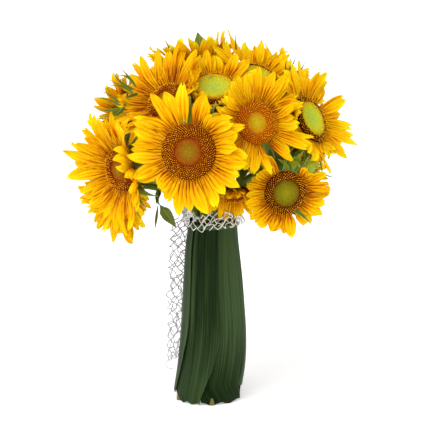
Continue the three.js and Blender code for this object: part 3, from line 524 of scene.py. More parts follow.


# The eyes: the share of their radius up to which the florets are closed, and the colours of the
# florets' tips and of the depths between them, at shares from the middle to the rim. The darker depth
# colours are partly the florets' own dark tubes and partly painted shade between them.
EYES = {
    "brown": dict(
        closed=0.48,
        tips=((0.0, (0.44, 0.32, 0.015)), (0.3, (0.38, 0.18, 0.006)), (0.48, (0.5, 0.1, 0.004)),
              (0.58, (1.0, 0.38, 0.006)), (1.0, (1.0, 0.44, 0.01))),
        depths=((0.0, (0.24, 0.14, 0.004)), (0.36, (0.26, 0.07, 0.003)), (0.5, (0.18, 0.02, 0.001)),
                (1.0, (0.13, 0.012, 0.0))),
    ),
    "amber": dict(
        closed=0.5,
        tips=((0.0, (0.7, 0.56, 0.02)), (0.3, (0.66, 0.44, 0.008)), (0.48, (0.8, 0.28, 0.005)),
              (0.6, (1.0, 0.44, 0.008)), (1.0, (1.0, 0.42, 0.006))),
        depths=((0.0, (0.5, 0.38, 0.01)), (0.4, (0.46, 0.22, 0.004)), (0.55, (0.4, 0.08, 0.001)),
                (1.0, (0.3, 0.045, 0.0))),
    ),
    "olive": dict(
        closed=0.64,
        tips=((0.0, (0.42, 0.38, 0.012)), (0.5, (0.28, 0.22, 0.006)), (0.64, (0.3, 0.1, 0.004)),
              (0.72, (1.0, 0.44, 0.01)), (1.0, (0.95, 0.36, 0.006))),
        depths=((0.0, (0.27, 0.25, 0.006)), (0.5, (0.16, 0.12, 0.003)), (0.66, (0.08, 0.01, 0.001)),
                (1.0, (0.07, 0.008, 0.0))),
    ),
    "lime": dict(
        closed=0.84,
        tips=((0.0, (0.6, 0.7, 0.14)), (0.4, (0.7, 0.74, 0.06)), (0.7, (0.8, 0.64, 0.02)),
              (0.86, (0.9, 0.4, 0.01)), (1.0, (0.9, 0.36, 0.008))),
        depths=((0.0, (0.38, 0.5, 0.06)), (0.6, (0.5, 0.48, 0.015)), (0.84, (0.42, 0.14, 0.004)),
                (0.9, (0.08, 0.012, 0.001)), (1.0, (0.07, 0.01, 0.0))),
    ),
    "ringed": dict(
        closed=0.76,
        tips=((0.0, (0.56, 0.66, 0.12)), (0.4, (0.66, 0.72, 0.05)), (0.64, (0.76, 0.64, 0.02)),
              (0.78, (0.95, 0.45, 0.01)), (1.0, (0.9, 0.4, 0.008))),
        depths=((0.0, (0.36, 0.48, 0.05)), (0.56, (0.48, 0.48, 0.014)), (0.72, (0.42, 0.16, 0.004)),
                (0.78, (0.05, 0.01, 0.001)), (1.0, (0.04, 0.008, 0.0))),
    ),
}


def eye_finish(name):
    """Florets, dark between and bright at their tips: the dark is partly their own colour and partly painted
    shade low down between them.
    """
    eye = EYES[name]
    finish = Finish(f"florets_{name}", Roughness=0.75, Specular_IOR_Level=0.04)
    out, height, tone = finish.place()
    blur = out + (finish.noise(180.0) - 0.5) * 0.1
    # The feet of the florets and the disc between them take the depth colours, partly painted shade; their
    # tops take the tip colours.
    lit = height.between(0.3, 0.9) * (0.35 + tone * 0.65)
    return finish.coat(finish.mix(lit, finish.ramp(blur, *eye["depths"]), finish.ramp(blur, *eye["tips"])))


def leaf_finish():
    """Leaf green: a pale midrib and side veins on a darker blade, greyer underneath."""
    finish = Finish("leaf", Specular_IOR_Level=0.18)
    along, across, tone = finish.place()
    under = tone > 1
    pale = tone.part()
    edge = abs(across)
    midrib = 1 - edge.between(0.03, 0.1)
    side = abs((along * 8 - edge * 2.6).part() - 0.5)
    veins = side.between(0.4, 0.49) * (1 - edge.between(0.85, 1.0))
    blotch = finish.noise(70.0)
    green = finish.mix(pale, rgb(0.03, 0.05, 0.002), rgb(0.19, 0.25, 0.025))
    green = finish.mix(blotch.between(0.35, 0.75) * 0.5, green, rgb(0.08, 0.115, 0.008))
    green = finish.mix(under * 0.6, green, rgb(0.21, 0.26, 0.08))
    lines = midrib + veins * 0.45
    finish.bump(lines * -1 + blotch * 0.5, 0.5, 0.0012)
    return finish.coat(finish.mix(lines * 0.75, green, rgb(0.27, 0.33, 0.08)), 0.5 + blotch * 0.15)


def stem_finish():
    """Hairy green stems and calyxes."""
    finish = Finish("stem", Specular_IOR_Level=0.2, Sheen_Weight=0.1)
    along, across, tone = finish.place()
    lines = finish.noise(1.0, 3.0, finish.vector(across * 9, along * 3, 0.0))
    cut = (1 - (tone > 0.25)) * (1 - along.between(0.012, 0.04))
    blotch = finish.noise(40.0)
    green = finish.mix(lines, rgb(0.06, 0.11, 0.005), rgb(0.15, 0.21, 0.02))
    finish.bump(lines, 0.4, 0.0008)
    green = finish.mix(blotch.between(0.4, 0.8) * 0.5, green, rgb(0.2, 0.24, 0.03))
    return finish.coat(finish.mix(cut * 0.9, green, rgb(0.16, 0.11, 0.025)), 0.6 + lines * 0.1)


def bract_finish():
    """Bracts: dark green with lighter edges and pale tips."""
    finish = Finish("bract", Specular_IOR_Level=0.18, Sheen_Weight=0.1)
    along, across, tone = finish.place()
    edge = abs(across).between(0.45, 1.0)
    blotch = finish.noise(90.0)
    green = finish.mix(tone.part(), rgb(0.05, 0.082, 0.002), rgb(0.21, 0.28, 0.012))
    green = finish.mix(edge * 0.5, green, rgb(0.34, 0.42, 0.05))
    green = finish.mix(along.between(0.55, 1.0) * 0.6, green, rgb(0.4, 0.43, 0.1))
    finish.bump(blotch, 0.3, 0.0008)
    return finish.coat(green, 0.5 + blotch * 0.2)


def bud_finish():
    """Closed buds: lime green, paler towards the tips of their sepals."""
    finish = Finish("bud", Specular_IOR_Level=0.3, Sheen_Weight=0.2)
    along, _, _ = finish.place()
    blotch = finish.noise(120.0)
    green = finish.mix(along, rgb(0.52, 0.7, 0.01), rgb(0.92, 0.98, 0.14))
    return finish.coat(finish.mix(blotch * 0.4, green, rgb(0.66, 0.82, 0.05)), 0.5 + blotch * 0.1)


def strap_finish():
    """Broad strap leaves: dark satin green with fine lengthwise veins, and paler broad streaks that are
    painted satin highlights. The tone each part is given sets how light it is, with painted shade and painted
    highlights in it.
    """
    finish = Finish("strap_leaf", Specular_IOR_Level=0.04)
    along, across, tone = finish.place()
    tone = tone.part()
    fine = finish.noise(1.0, 2.0, finish.vector(across * 90, along * 1.2, tone))
    broad = finish.noise(1.0, 3.0, finish.vector(across * 7, along * 2.2, tone))
    blotch = finish.noise(22.0, 4.0)
    green = finish.mix(tone, rgb(0.002, 0.01, 0.0004), rgb(0.054, 0.096, 0.032))
    # Paler broad streaks: painted satin highlights, stronger where the tone is lighter.
    green = finish.mix(broad.between(0.44, 0.72) * (0.2 + tone * 0.45), green, rgb(0.058, 0.1, 0.034))
    green = finish.mix(fine.between(0.5, 0.75) * (0.22 + tone * 0.25), green, rgb(0.13, 0.185, 0.085))
    green = finish.mix((1 - fine.between(0.28, 0.46)) * 0.55, green, rgb(0.003, 0.012, 0.001))
    finish.bump(fine + broad * 0.6, 0.35, 0.0007)
    return finish.coat(green, 0.3 + blotch * 0.22)


def pith_finish():
    """Cut ends: a pale pith in a tan rind."""
    finish = Finish("cut_end")
    out, _, _ = finish.place()
    grain = finish.noise(400.0)
    colour = finish.ramp(
        out + (grain - 0.5) * 0.3,
        (0.0, (0.62, 0.5, 0.28)), (0.6, (0.5, 0.34, 0.14)), (1.0, (0.28, 0.17, 0.05)))
    finish.bump(grain, 0.5, 0.001)
    return finish.coat(colour, 0.7 + grain * 0.2)


def fibre_finish():
    """Bleached plant fibre, with browner strands."""
    finish = Finish("net_fibre", Specular_IOR_Level=0.2, Sheen_Weight=0.2)
    _, _, tone = finish.place()
    fray = finish.noise(900.0)
    stain = finish.noise(60.0)
    clean = finish.mix(tone, rgb(0.97, 0.95, 0.92), rgb(0.42, 0.4, 0.46))
    colour = finish.mix(stain.between(0.45, 0.8) * 0.2, clean, rgb(0.42, 0.38, 0.36))
    finish.bump(fray, 0.6, 0.0004)
    return finish.coat(finish.mix(fray * 0.15, colour, rgb(0.6, 0.56, 0.52)), 0.8 + fray * 0.15)


def tape_finish():
    """Dark-green woven tape."""
    finish = Finish("binding_tape", Specular_IOR_Level=0.3)
    weave = finish.noise(700.0)
    finish.bump(weave, 0.4, 0.0004)
    return finish.coat(finish.mix(weave, rgb(0.03, 0.07, 0.015), rgb(0.07, 0.13, 0.03)), 0.7 + weave * 0.1)


PETAL, LEAF, STEM, BRACT = petal_finish(), leaf_finish(), stem_finish(), bract_finish()
BUD, STRAP, PITH, FIBRE, TAPE = bud_finish(), strap_finish(), pith_finish(), fibre_finish(), tape_finish()
EYE_FINISHES = {name: eye_finish(name) for name in EYES}


# ---------- Petals ----------

PETAL_STATIONS = np.array((0, 0.35, 0.7, 1))
PETAL_ALONG = np.linspace(0, 1, 16)
PETAL_ACROSS = np.linspace(-1, 1, 13)
PETAL_THICKNESS, PETAL_TUCK = 0.4, 2.5
# A petal's half width along it, pointed or blunt.
PETAL_SHAPE = (0, 0.08, 0.25, 0.5, 0.72, 0.88, 1)
POINTED = np.array((0.46, 0.62, 0.88, 1, 0.82, 0.46, 0.02))
BLUNT = np.array((0.46, 0.62, 0.86, 0.98, 1, 0.82, 0.4))
# The share of rays that hook forwards or twist a lot, and how much those and the others do, in radians.
HOOKED, TWISTED = (0.16, 0.9, 0.3), (0.2, 0.9, 0.25)

# The degrees from ray to ray, their width as shares of a CAD petal's, the lengths of the rays along
# CAD petals and of those between, and the share of these that are missing.
RAY_STEP = 7.5
RAY_FILL = (0.56, 0.86)
LONG_RAYS, SHORT_RAYS = (0.94, 1.05), (0.78, 1.02)
MISSING_RAYS = 0.06

# How near a CAD point lies to the ring round its disc, to be of that ring: by level and by radius.
LEVEL_SLACK, RADIUS_SLACK = 0.25, 0.3
FEWEST_POINTS = 6


def cad_petals(name, head, disc):
    """The middle lines and widths of a flower's CAD petals in its head's frame, by their angle.

    The ring that joins the petals is told by its place, and each petal is what hangs together without it.
    """
    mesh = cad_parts[f"{name}_petals"].data
    spots = np.array([vertex.co for vertex in mesh.vertices]) / MM
    keys, number = np.unique(np.round(spots, 2), axis=0, return_inverse=True)
    number = number.ravel()
    points = head.inwards(keys)
    radius = np.hypot(points[:, 0], points[:, 1])
    outer = disc + RING_GAP + RING_WALL
    level = np.minimum(abs(points[:, 2] - RING_TOP), abs(points[:, 2] - RING_FOOT)) < LEVEL_SLACK
    ringed = level & (radius > outer - RING_WALL - RADIUS_SLACK) & (radius < outer + RADIUS_SLACK)
    beside = {spot: set() for spot in range(len(points))}
    for edge in mesh.edges:
        one, other = (int(number[end]) for end in edge.vertices)
        beside[one].add(other)
        beside[other].add(one)
    lines, left = [], set(np.flatnonzero(~ringed).tolist())
    while left:
        members, queue, roots = set(), [left.pop()], set()
        while queue:
            spot = queue.pop()
            members.add(spot)
            for other in beside[spot]:
                if ringed[other]:
                    roots.add(other)
                elif other in left:
                    left.discard(other)
                    queue.append(other)
        if len(members) < FEWEST_POINTS or not roots:
            continue
        root = points[list(roots)].mean(0)
        body = points[list(members)]
        body = body[np.argsort(np.linalg.norm(body - root, axis=1))]
        tip = body[8:].mean(0) if len(body) > 8 else body[-2:].mean(0)
        width = np.ptp(body[:4] @ np.array((-root[1], root[0], 0)) / np.hypot(root[0], root[1]))
        lines.append((np.array((root, body[:4].mean(0), body[4:8].mean(0), tip)), width))
    return sorted(lines, key=lambda line: math.atan2(line[0][0, 1], line[0][0, 0]))


def gap_between(one, other):
    """The angles from one line round to the next, row by row."""
    turn = [np.arctan2(line[:, 1], line[:, 0]) for line in (one, other)]
    return (turn[1] - turn[0] + math.pi) % math.tau - math.pi


def between(one, other, share):
    """A line between two neighbours, turned about the head's axis."""
    angle = np.arctan2(one[:, 1], one[:, 0]) + gap_between(one, other) * share
    radius = np.hypot(one[:, 0], one[:, 1]) * (1 - share) + np.hypot(other[:, 0], other[:, 1]) * share
    height = one[:, 2] * (1 - share) + other[:, 2] * share
    return np.stack((radius * np.cos(angle), radius * np.sin(angle), height), 1)


def bent(line, side, lift, sway):
    """The line, turned upwards and sideways from its course by angles in radians."""
    beside, up, ahead = frames(line, side)
    course = ahead * np.cos(lift)[:, None] + up * np.sin(lift)[:, None] + beside * np.sin(sway)[:, None]
    steps = unit(course)[1:] * np.linalg.norm(np.diff(line, axis=0), axis=1)[:, None]
    return line[0] + np.concatenate((np.zeros((1, 3)), np.cumsum(steps, axis=0)))


def stray(chance, share, wild, mild):
    """A random angle about 0: for a share of the draws with a wild spread, else with a mild one."""
    return chance.normal(0, wild if chance.random() < share else mild)


def grow_petal(growth, head, stations, width, warmth, curl, chance):
    """One ray: a thin pleated blade, narrow at its base, that ends in a point or in small teeth."""
    root = unit(stations[0] * (1, 1, 0))
    side = np.array((-root[1], root[0], 0))
    line = through(PETAL_STATIONS, stations, PETAL_ALONG)
    length = np.linalg.norm(stations[3] - stations[0])
    along, across = PETAL_ALONG[:, None], PETAL_ACROSS
    late = np.clip(PETAL_ALONG - 0.3, 0, 1) / 0.7
    lift = (curl + stray(chance, *HOOKED)) * late ** 1.6
    line = bent(line, side, lift, chance.normal(0, 0.22) * PETAL_ALONG + chance.normal(0, 0.07))
    line[0] -= root * PETAL_TUCK
    blunt = chance.random() ** 2.2
    half = width / 2 * np.interp(PETAL_ALONG, PETAL_SHAPE, POINTED + (BLUNT - POINTED) * blunt)
    folds = chance.uniform(0.04, 0.075) * width
    pleats = folds * np.cos(3 * math.pi * across + chance.normal(0, 0.25)) * np.sin(math.pi * along ** 0.6)
    channel = chance.normal(0.1, 0.12) * width * across ** 2 * (0.3 + along)
    wave = chance.normal(0, 0.1) * width * across * abs(across)
    wave = wave * np.sin(math.tau * (along * 1.5 + chance.random()))
    teeth = (0.03 + 0.12 * blunt) * length * along ** 8
    teeth = teeth * (1 - np.cos(math.tau * across + chance.normal(0, 0.6))) / 2
    twist = stray(chance, *TWISTED) * PETAL_ALONG ** 1.5
    tone = min(max(warmth + chance.normal(0, 0.12), 0.01), 0.98)
    relief = pleats + channel + wave
    blade(growth, line, side, half, across, relief, tone, PETAL_THICKNESS, twist, teeth, head=head)


def arc_at(flower, spot):
    """For the rays at one side of a flower: their length and their forward curl."""
    angle = math.degrees(math.atan2(spot[1], spot[0]))
    for low, high, length, curl in flower.get("arcs", ()):
        if (angle - low) % 360 < high - low:
            return length, curl
    return 1, 0


def grow_petals(name, flower, head):
    """A flower's rays: one along each CAD petal, and lower and shorter ones between each two."""
    chance = draw(name)
    growth = Growth()
    rays = cad_petals(name, head, flower["disc"])
    for place, (stations, width) in enumerate(rays):
        after = rays[(place + 1) % len(rays)][0]
        gap = math.degrees(gap_between(stations, after)[0])
        count = max(round(gap / flower.get("step", RAY_STEP)), 1)
        for ray in range(count):
            line = between(stations, after, ray / count)
            line[1:, 2] -= np.array((1, 1.5, 2)) * ray * chance.uniform(0.4, 1.2)
            length, curl = arc_at(flower, line[0])
            if length and (not ray or chance.random() > MISSING_RAYS):
                reach = length * chance.uniform(*(SHORT_RAYS if ray else LONG_RAYS))
                line = line[0] + (line - line[0]) * reach
                wide = width * chance.uniform(*flower.get("fill", RAY_FILL))
                grow_petal(growth, head, line, wide, flower["warmth"], curl, chance)
    make(f"{name}_rays", growth, [PETAL], "petal", f"{name}_petals")


# ---------- Discs ----------

# The face of a disc that one closed or open floret takes, and the rings of a floret: the share of
# its height, that of its width and its brightness, which keeps its foot in the depth colours as partly
# painted shade.
CLOSED_AREA, OPEN_AREA = 2.6, 5.2
FLORET_SIDES = 5
FLORET_RINGS = ((0, 1.0, 0.0), (0.55, 0.8, 0.45), (0.92, 0.62, 0.95))
CROWN_SINK, DISC_FOOT, DISC_SIDES = 1.3, -5.4, 48


def spiral(disc, low, high, area):
    """The spots of crossing spirals, from one share of a disc's radius to another."""
    first, last = (int(math.pi * (disc * share) ** 2 / area) for share in (low, high))
    number = np.arange(first, last)
    return np.stack((np.sqrt((number + 0.5) * area / math.pi) / disc, number * GOLDEN_ANGLE), 1)


def grow_floret(growth, head, disc, share, angle, closed, chance):
    """One floret: a small bud in the middle of a disc, or a taller ragged tube in its ring."""
    out = np.array((math.cos(angle), math.sin(angle), 0))
    wide = (1.0 if closed else 0.85) * chance.uniform(0.85, 1.15)
    tall = (0.9 if closed else 2.4) * chance.uniform(0.7, 1.3)
    lean = out * (0.1 + 0.35 * share) * tall
    if not closed:
        lean = lean + chance.normal(0, 0.3, 3) * (1, 1, 0)
    foot = out * 0.985 * disc * share + (0, 0, np.interp(share, *DISC_CROWN) - 1.6)
    turn = np.arange(FLORET_SIDES) * math.tau / FLORET_SIDES
    ring = np.stack((np.cos(turn), np.sin(turn), np.zeros(FLORET_SIDES)), 1) * wide
    rings = [foot + lean * level ** 2 + (0, 0, level * tall) + ring * narrow
             for level, narrow, _ in FLORET_RINGS]
    points = np.concatenate((*rings, [foot + lean + (0, 0, tall * 1.06)]))
    near = np.arange(FLORET_SIDES)
    following = np.roll(near, -1)
    walls = [np.stack((near, following, following + FLORET_SIDES, near + FLORET_SIDES), 1) + low
             for low in (0, FLORET_SIDES)]
    hub = np.full(FLORET_SIDES, 3 * FLORET_SIDES)
    top = np.stack((following + 2 * FLORET_SIDES, hub, hub, near + 2 * FLORET_SIDES), 1)
    lights = np.append(np.repeat([light for _, _, light in FLORET_RINGS], FLORET_SIDES), 1.0)
    places = np.stack(np.broadcast_arrays(share, lights, chance.random()), 1)
    growth.add(head.outwards(points), np.concatenate((*walls, top)), places)


def grow_florets(name, flower, head):
    """A disc of florets in crossing spirals: tight buds in the middle, open ones towards the rim."""
    chance = draw(name + "eye")
    disc = flower["disc"]
    opened = EYES[flower["eye"]]["closed"]
    growth = Growth()
    shares = np.linspace(0.02, 1, 14)
    crown = [(disc * share, np.interp(share, *DISC_CROWN) - CROWN_SINK) for share in shares]
    growth.turned([*crown, (disc, DISC_FOOT), (0.1, DISC_FOOT)], head, DISC_SIDES)
    growth.places[-1] = np.repeat(np.append(shares, (1, 0)), DISC_SIDES)[:, None] * (1, 0, 0)
    for low, high, area, closed in ((0, opened, CLOSED_AREA, True), (opened, 1, OPEN_AREA, False)):
        for share, angle in spiral(disc, low, high, area):
            grow_floret(growth, head, disc, share, angle, closed, chance)
    slot = "green_disc" if flower["eye"] in ("lime", "ringed") else "dark_disc"
    make(f"{name}_florets", growth, [EYE_FINISHES[flower["eye"]]], slot, f"{name}_disc")


# ---------- Stems, calyxes, bracts and leaves ----------

def stem_line(slot, head, depth, tuck, shift):
    """A stem's middle line: up the handle, through the neck and to the back of its head."""
    slot = np.array((*slot, 0.0))
    foot = slot * FOOT_SPREAD + (*shift, 0)
    bend = 1 + (FOOT_SPREAD - 1) * HANDLE_BEND_SPREAD
    neck = NECK + slot
    to = head.at - head.front * (depth - 3)
    reach = np.linalg.norm(to - neck)
    rise, turn = neck + (0, 0, STEM_RISE * reach), to - head.front * tuck * reach
    waist = slot * bend + (NECK[0] * HANDLE_BEND_LEAN, 0, HANDLE_BEND)
    low, high = foot + (waist - foot) * 0.6, waist + (neck - waist) * 0.3
    handle = bezier((foot, low, high, neck), np.linspace(0, 1, HANDLE_ROWS))
    curve = bezier((neck, rise, turn, to), np.linspace(0, 1, STALK_ROWS))
    return np.concatenate((handle[:-1], curve))


def grow_stalk(growth, line):
    """The round stem along its line, with its pith at the level cut that it stands on."""
    growth.tube(line, np.linspace(STEM_RADIUS, STEM_RADIUS - 0.8, len(line)), STALK_SIDES, end_skin=2)
    growth.points[0][:STALK_SIDES, 2] = 0
    growth.points[1][:, 2] = 0


def calyx_depth(disc):
    return -CALYX_TOP + CALYX_SLOPE * disc


LEAF_THICKNESS, SPRAY_THICKNESS = 0.5, 0.4
BRACT_ACROSS = np.linspace(-1, 1, 5)
# Each row of bracts: how many, their length as a share of the petals' and their slope.
BRACT_ROWS = ((12, 0.54, -14), (11, 0.74, -28))


def grow_bract(growth, head, turn, radius, rise, length, width, chance):
    """A bract behind the petals: broad at its foot, with a long thin tip."""
    shares = np.linspace(0, 1, 10)
    slopes = rad(rise) + shares * chance.normal(-0.25, 0.35)
    line, side = outward_line(turn, radius, CALYX_TOP - 1.5, length, slopes)
    line = line + side * (chance.normal(0, 0.1) * length * shares ** 2)[:, None]
    half = width / 2 * np.interp(shares, (0, 0.15, 0.35, 0.6, 0.8, 1), (0.8, 1, 0.82, 0.36, 0.14, 0.05))
    relief = 0.18 * half[:, None] * BRACT_ACROSS ** 2 * (1 + shares[:, None])
    tone, twist = chance.uniform(0.05, 0.7), chance.normal(0, 0.5) * shares
    blade(growth, line, side, half, BRACT_ACROSS, relief, tone, LEAF_THICKNESS, twist, skin=1, head=head)


def grow_spray(growth, root, tip, width, chance):
    """A long bract from root to tip, arched a little, its face to the front."""
    root, tip = np.array(root, float), np.array(tip, float)
    shares = np.linspace(0, 1, 12)
    side = unit(np.cross(tip - root, (0.2, -1, 0.3)))
    bow = side * np.linalg.norm(tip - root) * chance.normal(0, 0.09)
    line = root + (tip - root) * shares[:, None] + bow * np.sin(math.pi * shares)[:, None]
    half = width / 2 * np.interp(shares, (0, 0.2, 0.45, 0.75, 1), (0.5, 1, 0.8, 0.3, 0.04))
    relief = 0.3 * half[:, None] * BRACT_ACROSS ** 2
    tone, twist = chance.uniform(0.02, 0.5), chance.normal(0, 0.4) * shares
    blade(growth, line, side, half, BRACT_ACROSS, relief, tone, SPRAY_THICKNESS, twist, skin=1)


def grow_stem(name, flower, head):
    """The green of a flower: its stem with the cut end, its calyx and two rows of bracts."""
    chance = draw(name + "stem")
    disc, petal = flower["disc"], flower["petal"]
    growth = Growth()
    line = stem_line(flower["slot"], head, calyx_depth(disc), flower.get("tuck", STEM_TUCK),
                     flower.get("foot_shift", (0, 0)))
    grow_stalk(growth, line)
    if name == "left":
        growth.tube(bezier(SHOOT, np.linspace(0, 1, 16)), SHOOT_RADIUS, 8, 0.5)
    rim = disc + 1.6
    foot = -calyx_depth(disc)
    profile = [(0.1, CALYX_TOP), (rim - 1, CALYX_TOP), (rim, CALYX_TOP - 1), (rim - 0.6, CALYX_TOP - 3.4),
               (0.8 * rim, CALYX_TOP - 6), (0.5 * rim, foot + 2.6), (STEM_RADIUS + 2, foot + 1),
               (STEM_RADIUS, foot - 3), (0.1, foot - 3)]
    growth.turned(profile, head, 36, 0.5, ripple=lambda turn: 1 + 0.03 * np.cos(9 * turn))
    for row, turn, share, slope in whorls(BRACT_ROWS, chance, 0.12):
        length = petal * share * chance.uniform(0.8, 1.25) * flower.get("leafy", 1)
        rise = flower["cup"] / 2 + slope + chance.normal(0, 9)
        width = chance.uniform(8.5, 11.5)
        grow_bract(growth, head, turn, rim - 1 - 2 * row, rise, length, width, chance)
    for spray in SPRAYS.get(name, ()):
        grow_spray(growth, *spray, chance)
    make(f"{name}_green", growth, [STEM, BRACT, PITH], "stem", f"{name}_stem")


LEAF_ALONG = np.linspace(0, 1, 34)
LEAF_ACROSS = np.linspace(-1, 1, 11)


def grow_leaf(name):
    """A leaf on its stalk: folded along the midrib, with raised veins, waved and toothed edges."""
    _, root, tip, up, width, bend, tone = LEAVES[name]
    chance = draw(name + "leaf")
    root, tip, up = (np.array(spot, float) for spot in (root, tip, up))
    along, length = unit(tip - root), np.linalg.norm(tip - root)
    up = unit(up - along * (up @ along))
    arch = -math.tan(rad(bend)) * length * 0.5 * LEAF_ALONG * (1 - LEAF_ALONG)
    line = root + along * (LEAF_ALONG * length)[:, None] + up * arch[:, None]
    narrow = 0.5 if width < 12 else 0.28
    stations = (0, 0.12, 0.2, narrow + 0.06, 0.5, 0.72, 0.9, 1)
    half = width / 2 * np.interp(LEAF_ALONG, stations, (0.08, 0.08, 0.3, 0.94, 1, 0.68, 0.26, 0.02))
    teeth = 1 + 0.05 * np.sin(LEAF_ALONG * math.tau * 11) * (LEAF_ALONG > 0.2)
    share, across = LEAF_ALONG[:, None], LEAF_ACROSS
    fold = 0.24 * half[:, None] * abs(across)
    veins = 0.3 * np.cos(math.tau * (share * 8 - abs(across) * 2.6)) * (1 - abs(across)) * (share > 0.16)
    ripple = np.sin(math.tau * (share * 2.6 + chance.random()) + 1.4 * np.sign(across))
    wave = 0.13 * half[:, None] * across ** 2 * ripple
    growth = Growth()
    side = np.cross(up, along)
    blade(growth, line, side, half * teeth, across, fold + veins + wave, tone, LEAF_THICKNESS)
    make(f"{name}_leaf", growth, [LEAF], "stem")


BUD_SIDES = 24
# Each row of a bud's sepals: how many, their length and their slope.
SEPAL_ROWS = ((8, 13, 72), (8, 15, 58), (7, 17, 40))
# A bud from its tip backwards: the share of its radius, and of its length.
BUD_SHAPE = ((0.68, 0.14), (0.94, 0.34), (1, 0.5), (0.93, 0.68), (0.66, 0.88))


def grow_bud(growth, head, chance):
    """One closed bud: its ribbed body and its rows of sepals."""
    body = [(wide * BUD_RADIUS, -back * BUD_LENGTH) for wide, back in BUD_SHAPE]
    profile = [(0.1, -1), (3, -1.6), *body, (3, -BUD_LENGTH), (0.1, -BUD_LENGTH)]
    growth.turned(profile, head, BUD_SIDES, skin=3, ripple=lambda turn: 1 + 0.05 * np.cos(8 * turn))
    shares = np.linspace(0, 1, 8)
    half = np.interp(shares, (0, 0.25, 0.6, 1), (2.4, 3, 1.7, 0.15))
    relief = 0.25 * half[:, None] * BRACT_ACROSS ** 2
    for row, turn, length, rise in whorls(SEPAL_ROWS, chance, 0.1):
        slopes = rad(rise) + shares * chance.normal(0.5 - 0.4 * row, 0.2)
        radius = BUD_RADIUS * 0.86 + 0.5 * row
        line, side = outward_line(turn, radius, -0.72 * BUD_LENGTH, length, slopes)
        tone = chance.uniform(0.75, 0.98)
        blade(growth, line, side, half, BRACT_ACROSS, relief, tone, LEAF_THICKNESS, skin=3, head=head)


def grow_buds():
    """The side stem, its twig and the two closed buds among their sepals."""
    growth = Growth()
    chance = draw("buds")
    heads = [Head(**bud) for bud in BUDS]
    line = stem_line(BUD_SLOT, heads[0], BUD_LENGTH, STEM_TUCK, (-3, 0))
    grow_stalk(growth, line)
    start = line[HANDLE_ROWS - 1 + int((STALK_ROWS - 1) * TWIG_LEAVES)]
    to = heads[1].at - heads[1].front * (BUD_LENGTH - 3)
    bend = to - heads[1].front * 2 * BUD_RADIUS
    growth.tube(bezier((start, bend, bend, to), np.linspace(0, 1, 12)), TWIG_RADIUS, 10)
    for head in heads:
        grow_bud(growth, head, chance)
    make("bud_green", growth, [STEM, BRACT, PITH, BUD], "stem", "bud_stem")


# ---------- The handle, its binding and the net ----------

def by_height(z, values):
    """The handle's value at a height, its corners rounded off."""
    near = np.asarray(z)[..., None] + np.linspace(-18, 18, 13)
    return np.interp(near, HANDLE_Z, values).mean(-1)


def on_handle(angle, z, outset):
    """A point on the handle, for an angle in degrees from +X."""
    left, right = by_height(z, HANDLE_LEFT), by_height(z, HANDLE_RIGHT)
    radius = (right - left) / 2 + outset
    turn = np.radians(angle)
    x, y = (left + right) / 2 + radius * np.cos(turn), radius * np.sin(turn)
    return np.stack(np.broadcast_arrays(x, y, z), -1)


def grow_wrap(name):
    """A broad strap leaf up the handle: pleated along its veins, its free edge standing a little proud."""
    wrap = WRAPS[name]
    chance = draw(name)
    height, column = np.linspace(0, 1, 70)[:, None], np.linspace(0, 1, 41)
    foot = wrap["foot"] + 1.3 * (1 + np.sin(math.tau * column * 2.3))
    z = foot + (WRAP_TOP - foot) * height
    foot_line = 1 + (wrap.get("cut", 1) - 1) * (1 - ease(z, 2, 16))
    edge = WRAP_FREE_EDGE + wrap["place"] * 360 / len(WRAPS) + by_height(z, HANDLE_TWIST)
    edge = edge + wrap.get("reach", 0) * (1 - ease(z, 0, 30))
    angle = edge - WRAP_SPAN * column * foot_line
    lane = (edge - by_height(z, HANDLE_TWIST) * 0.75 - angle) / WRAP_SPAN
    pleats = 0.1 * np.cos(math.tau * lane * 17) + 0.2 * np.cos(math.tau * (lane * 4 + chance.random()))
    lift = 0.7 * (1 - ease(column, 0, 0.1)) * (1 + 0.8 * np.sin(math.tau * (height * 1.7 + chance.random())))
    swell = 0.5 * np.sin(math.tau * (height * 0.9 + chance.random())) * np.sin(math.pi * column)
    outset = pleats + lift + swell * 0.5 - wrap.get("sink", 0) - WRAP_TUCK * column - 0.3
    growth = Growth()
    grid = on_handle(angle, z, outset)
    low, high = wrap["tones"]
    # How light the leaf is from foot to top, less painted shade where it runs under its neighbour.
    tone = low + (high - low) * ease(z, 10, 130) - UNDERLAP_SHADE * ease(column, 0.35, 0.72)
    # Painted highlight along the free edge.
    tone = tone + EDGE_HIGHLIGHT * (column < 0.01)
    # A painted highlight stripe at a set place across the leaf, over its upper part.
    tone += wrap.get("painted_highlight", 0) * np.exp(-((column - HIGHLIGHT_PLACE) / HIGHLIGHT_WIDTH) ** 2) * ease(z, 60, 130)
    tone = np.clip(tone, 0.01, 0.98)
    growth.sheet(grid[:, ::-1], WRAP_THICKNESS, height, lane[:, ::-1], tone[:, ::-1])
    make(f"{name}_leaf", growth, [STRAP], "strap_leaf", name)


def grow_binding():
    """Tape wound round the neck, under the net."""
    growth = Growth()
    turn = np.linspace(0, 360 * BINDING_TURNS, 60 * BINDING_TURNS)
    across = np.linspace(-1, 1, 5)
    middle = np.linspace(BINDING_LOW + 1.4, BINDING_HIGH - 1.4, len(turn))
    z = middle[:, None] + across * TAPE_HALF
    outset = 0.5 + 0.4 * (1 - across ** 2) + 0.3 * (turn[:, None] / turn[-1])
    grid = on_handle(turn[:, None], z, outset)
    growth.sheet(grid[:, ::-1], TAPE_THICKNESS, turn[:, None] / turn[-1], across[::-1], 0.2)
    make("binding_tape", growth, [TAPE], "binding", "binding")


STRAND_SIDES, KNOT_SPREAD = 5, 0.24
# The net's tones: bleached round the neck, and greyer in the thin tail. Then its loose ends.
BEIGE, LILAC = 0.1, 0.9
COLLAR_ENDS, TAIL_ENDS = 22, 30


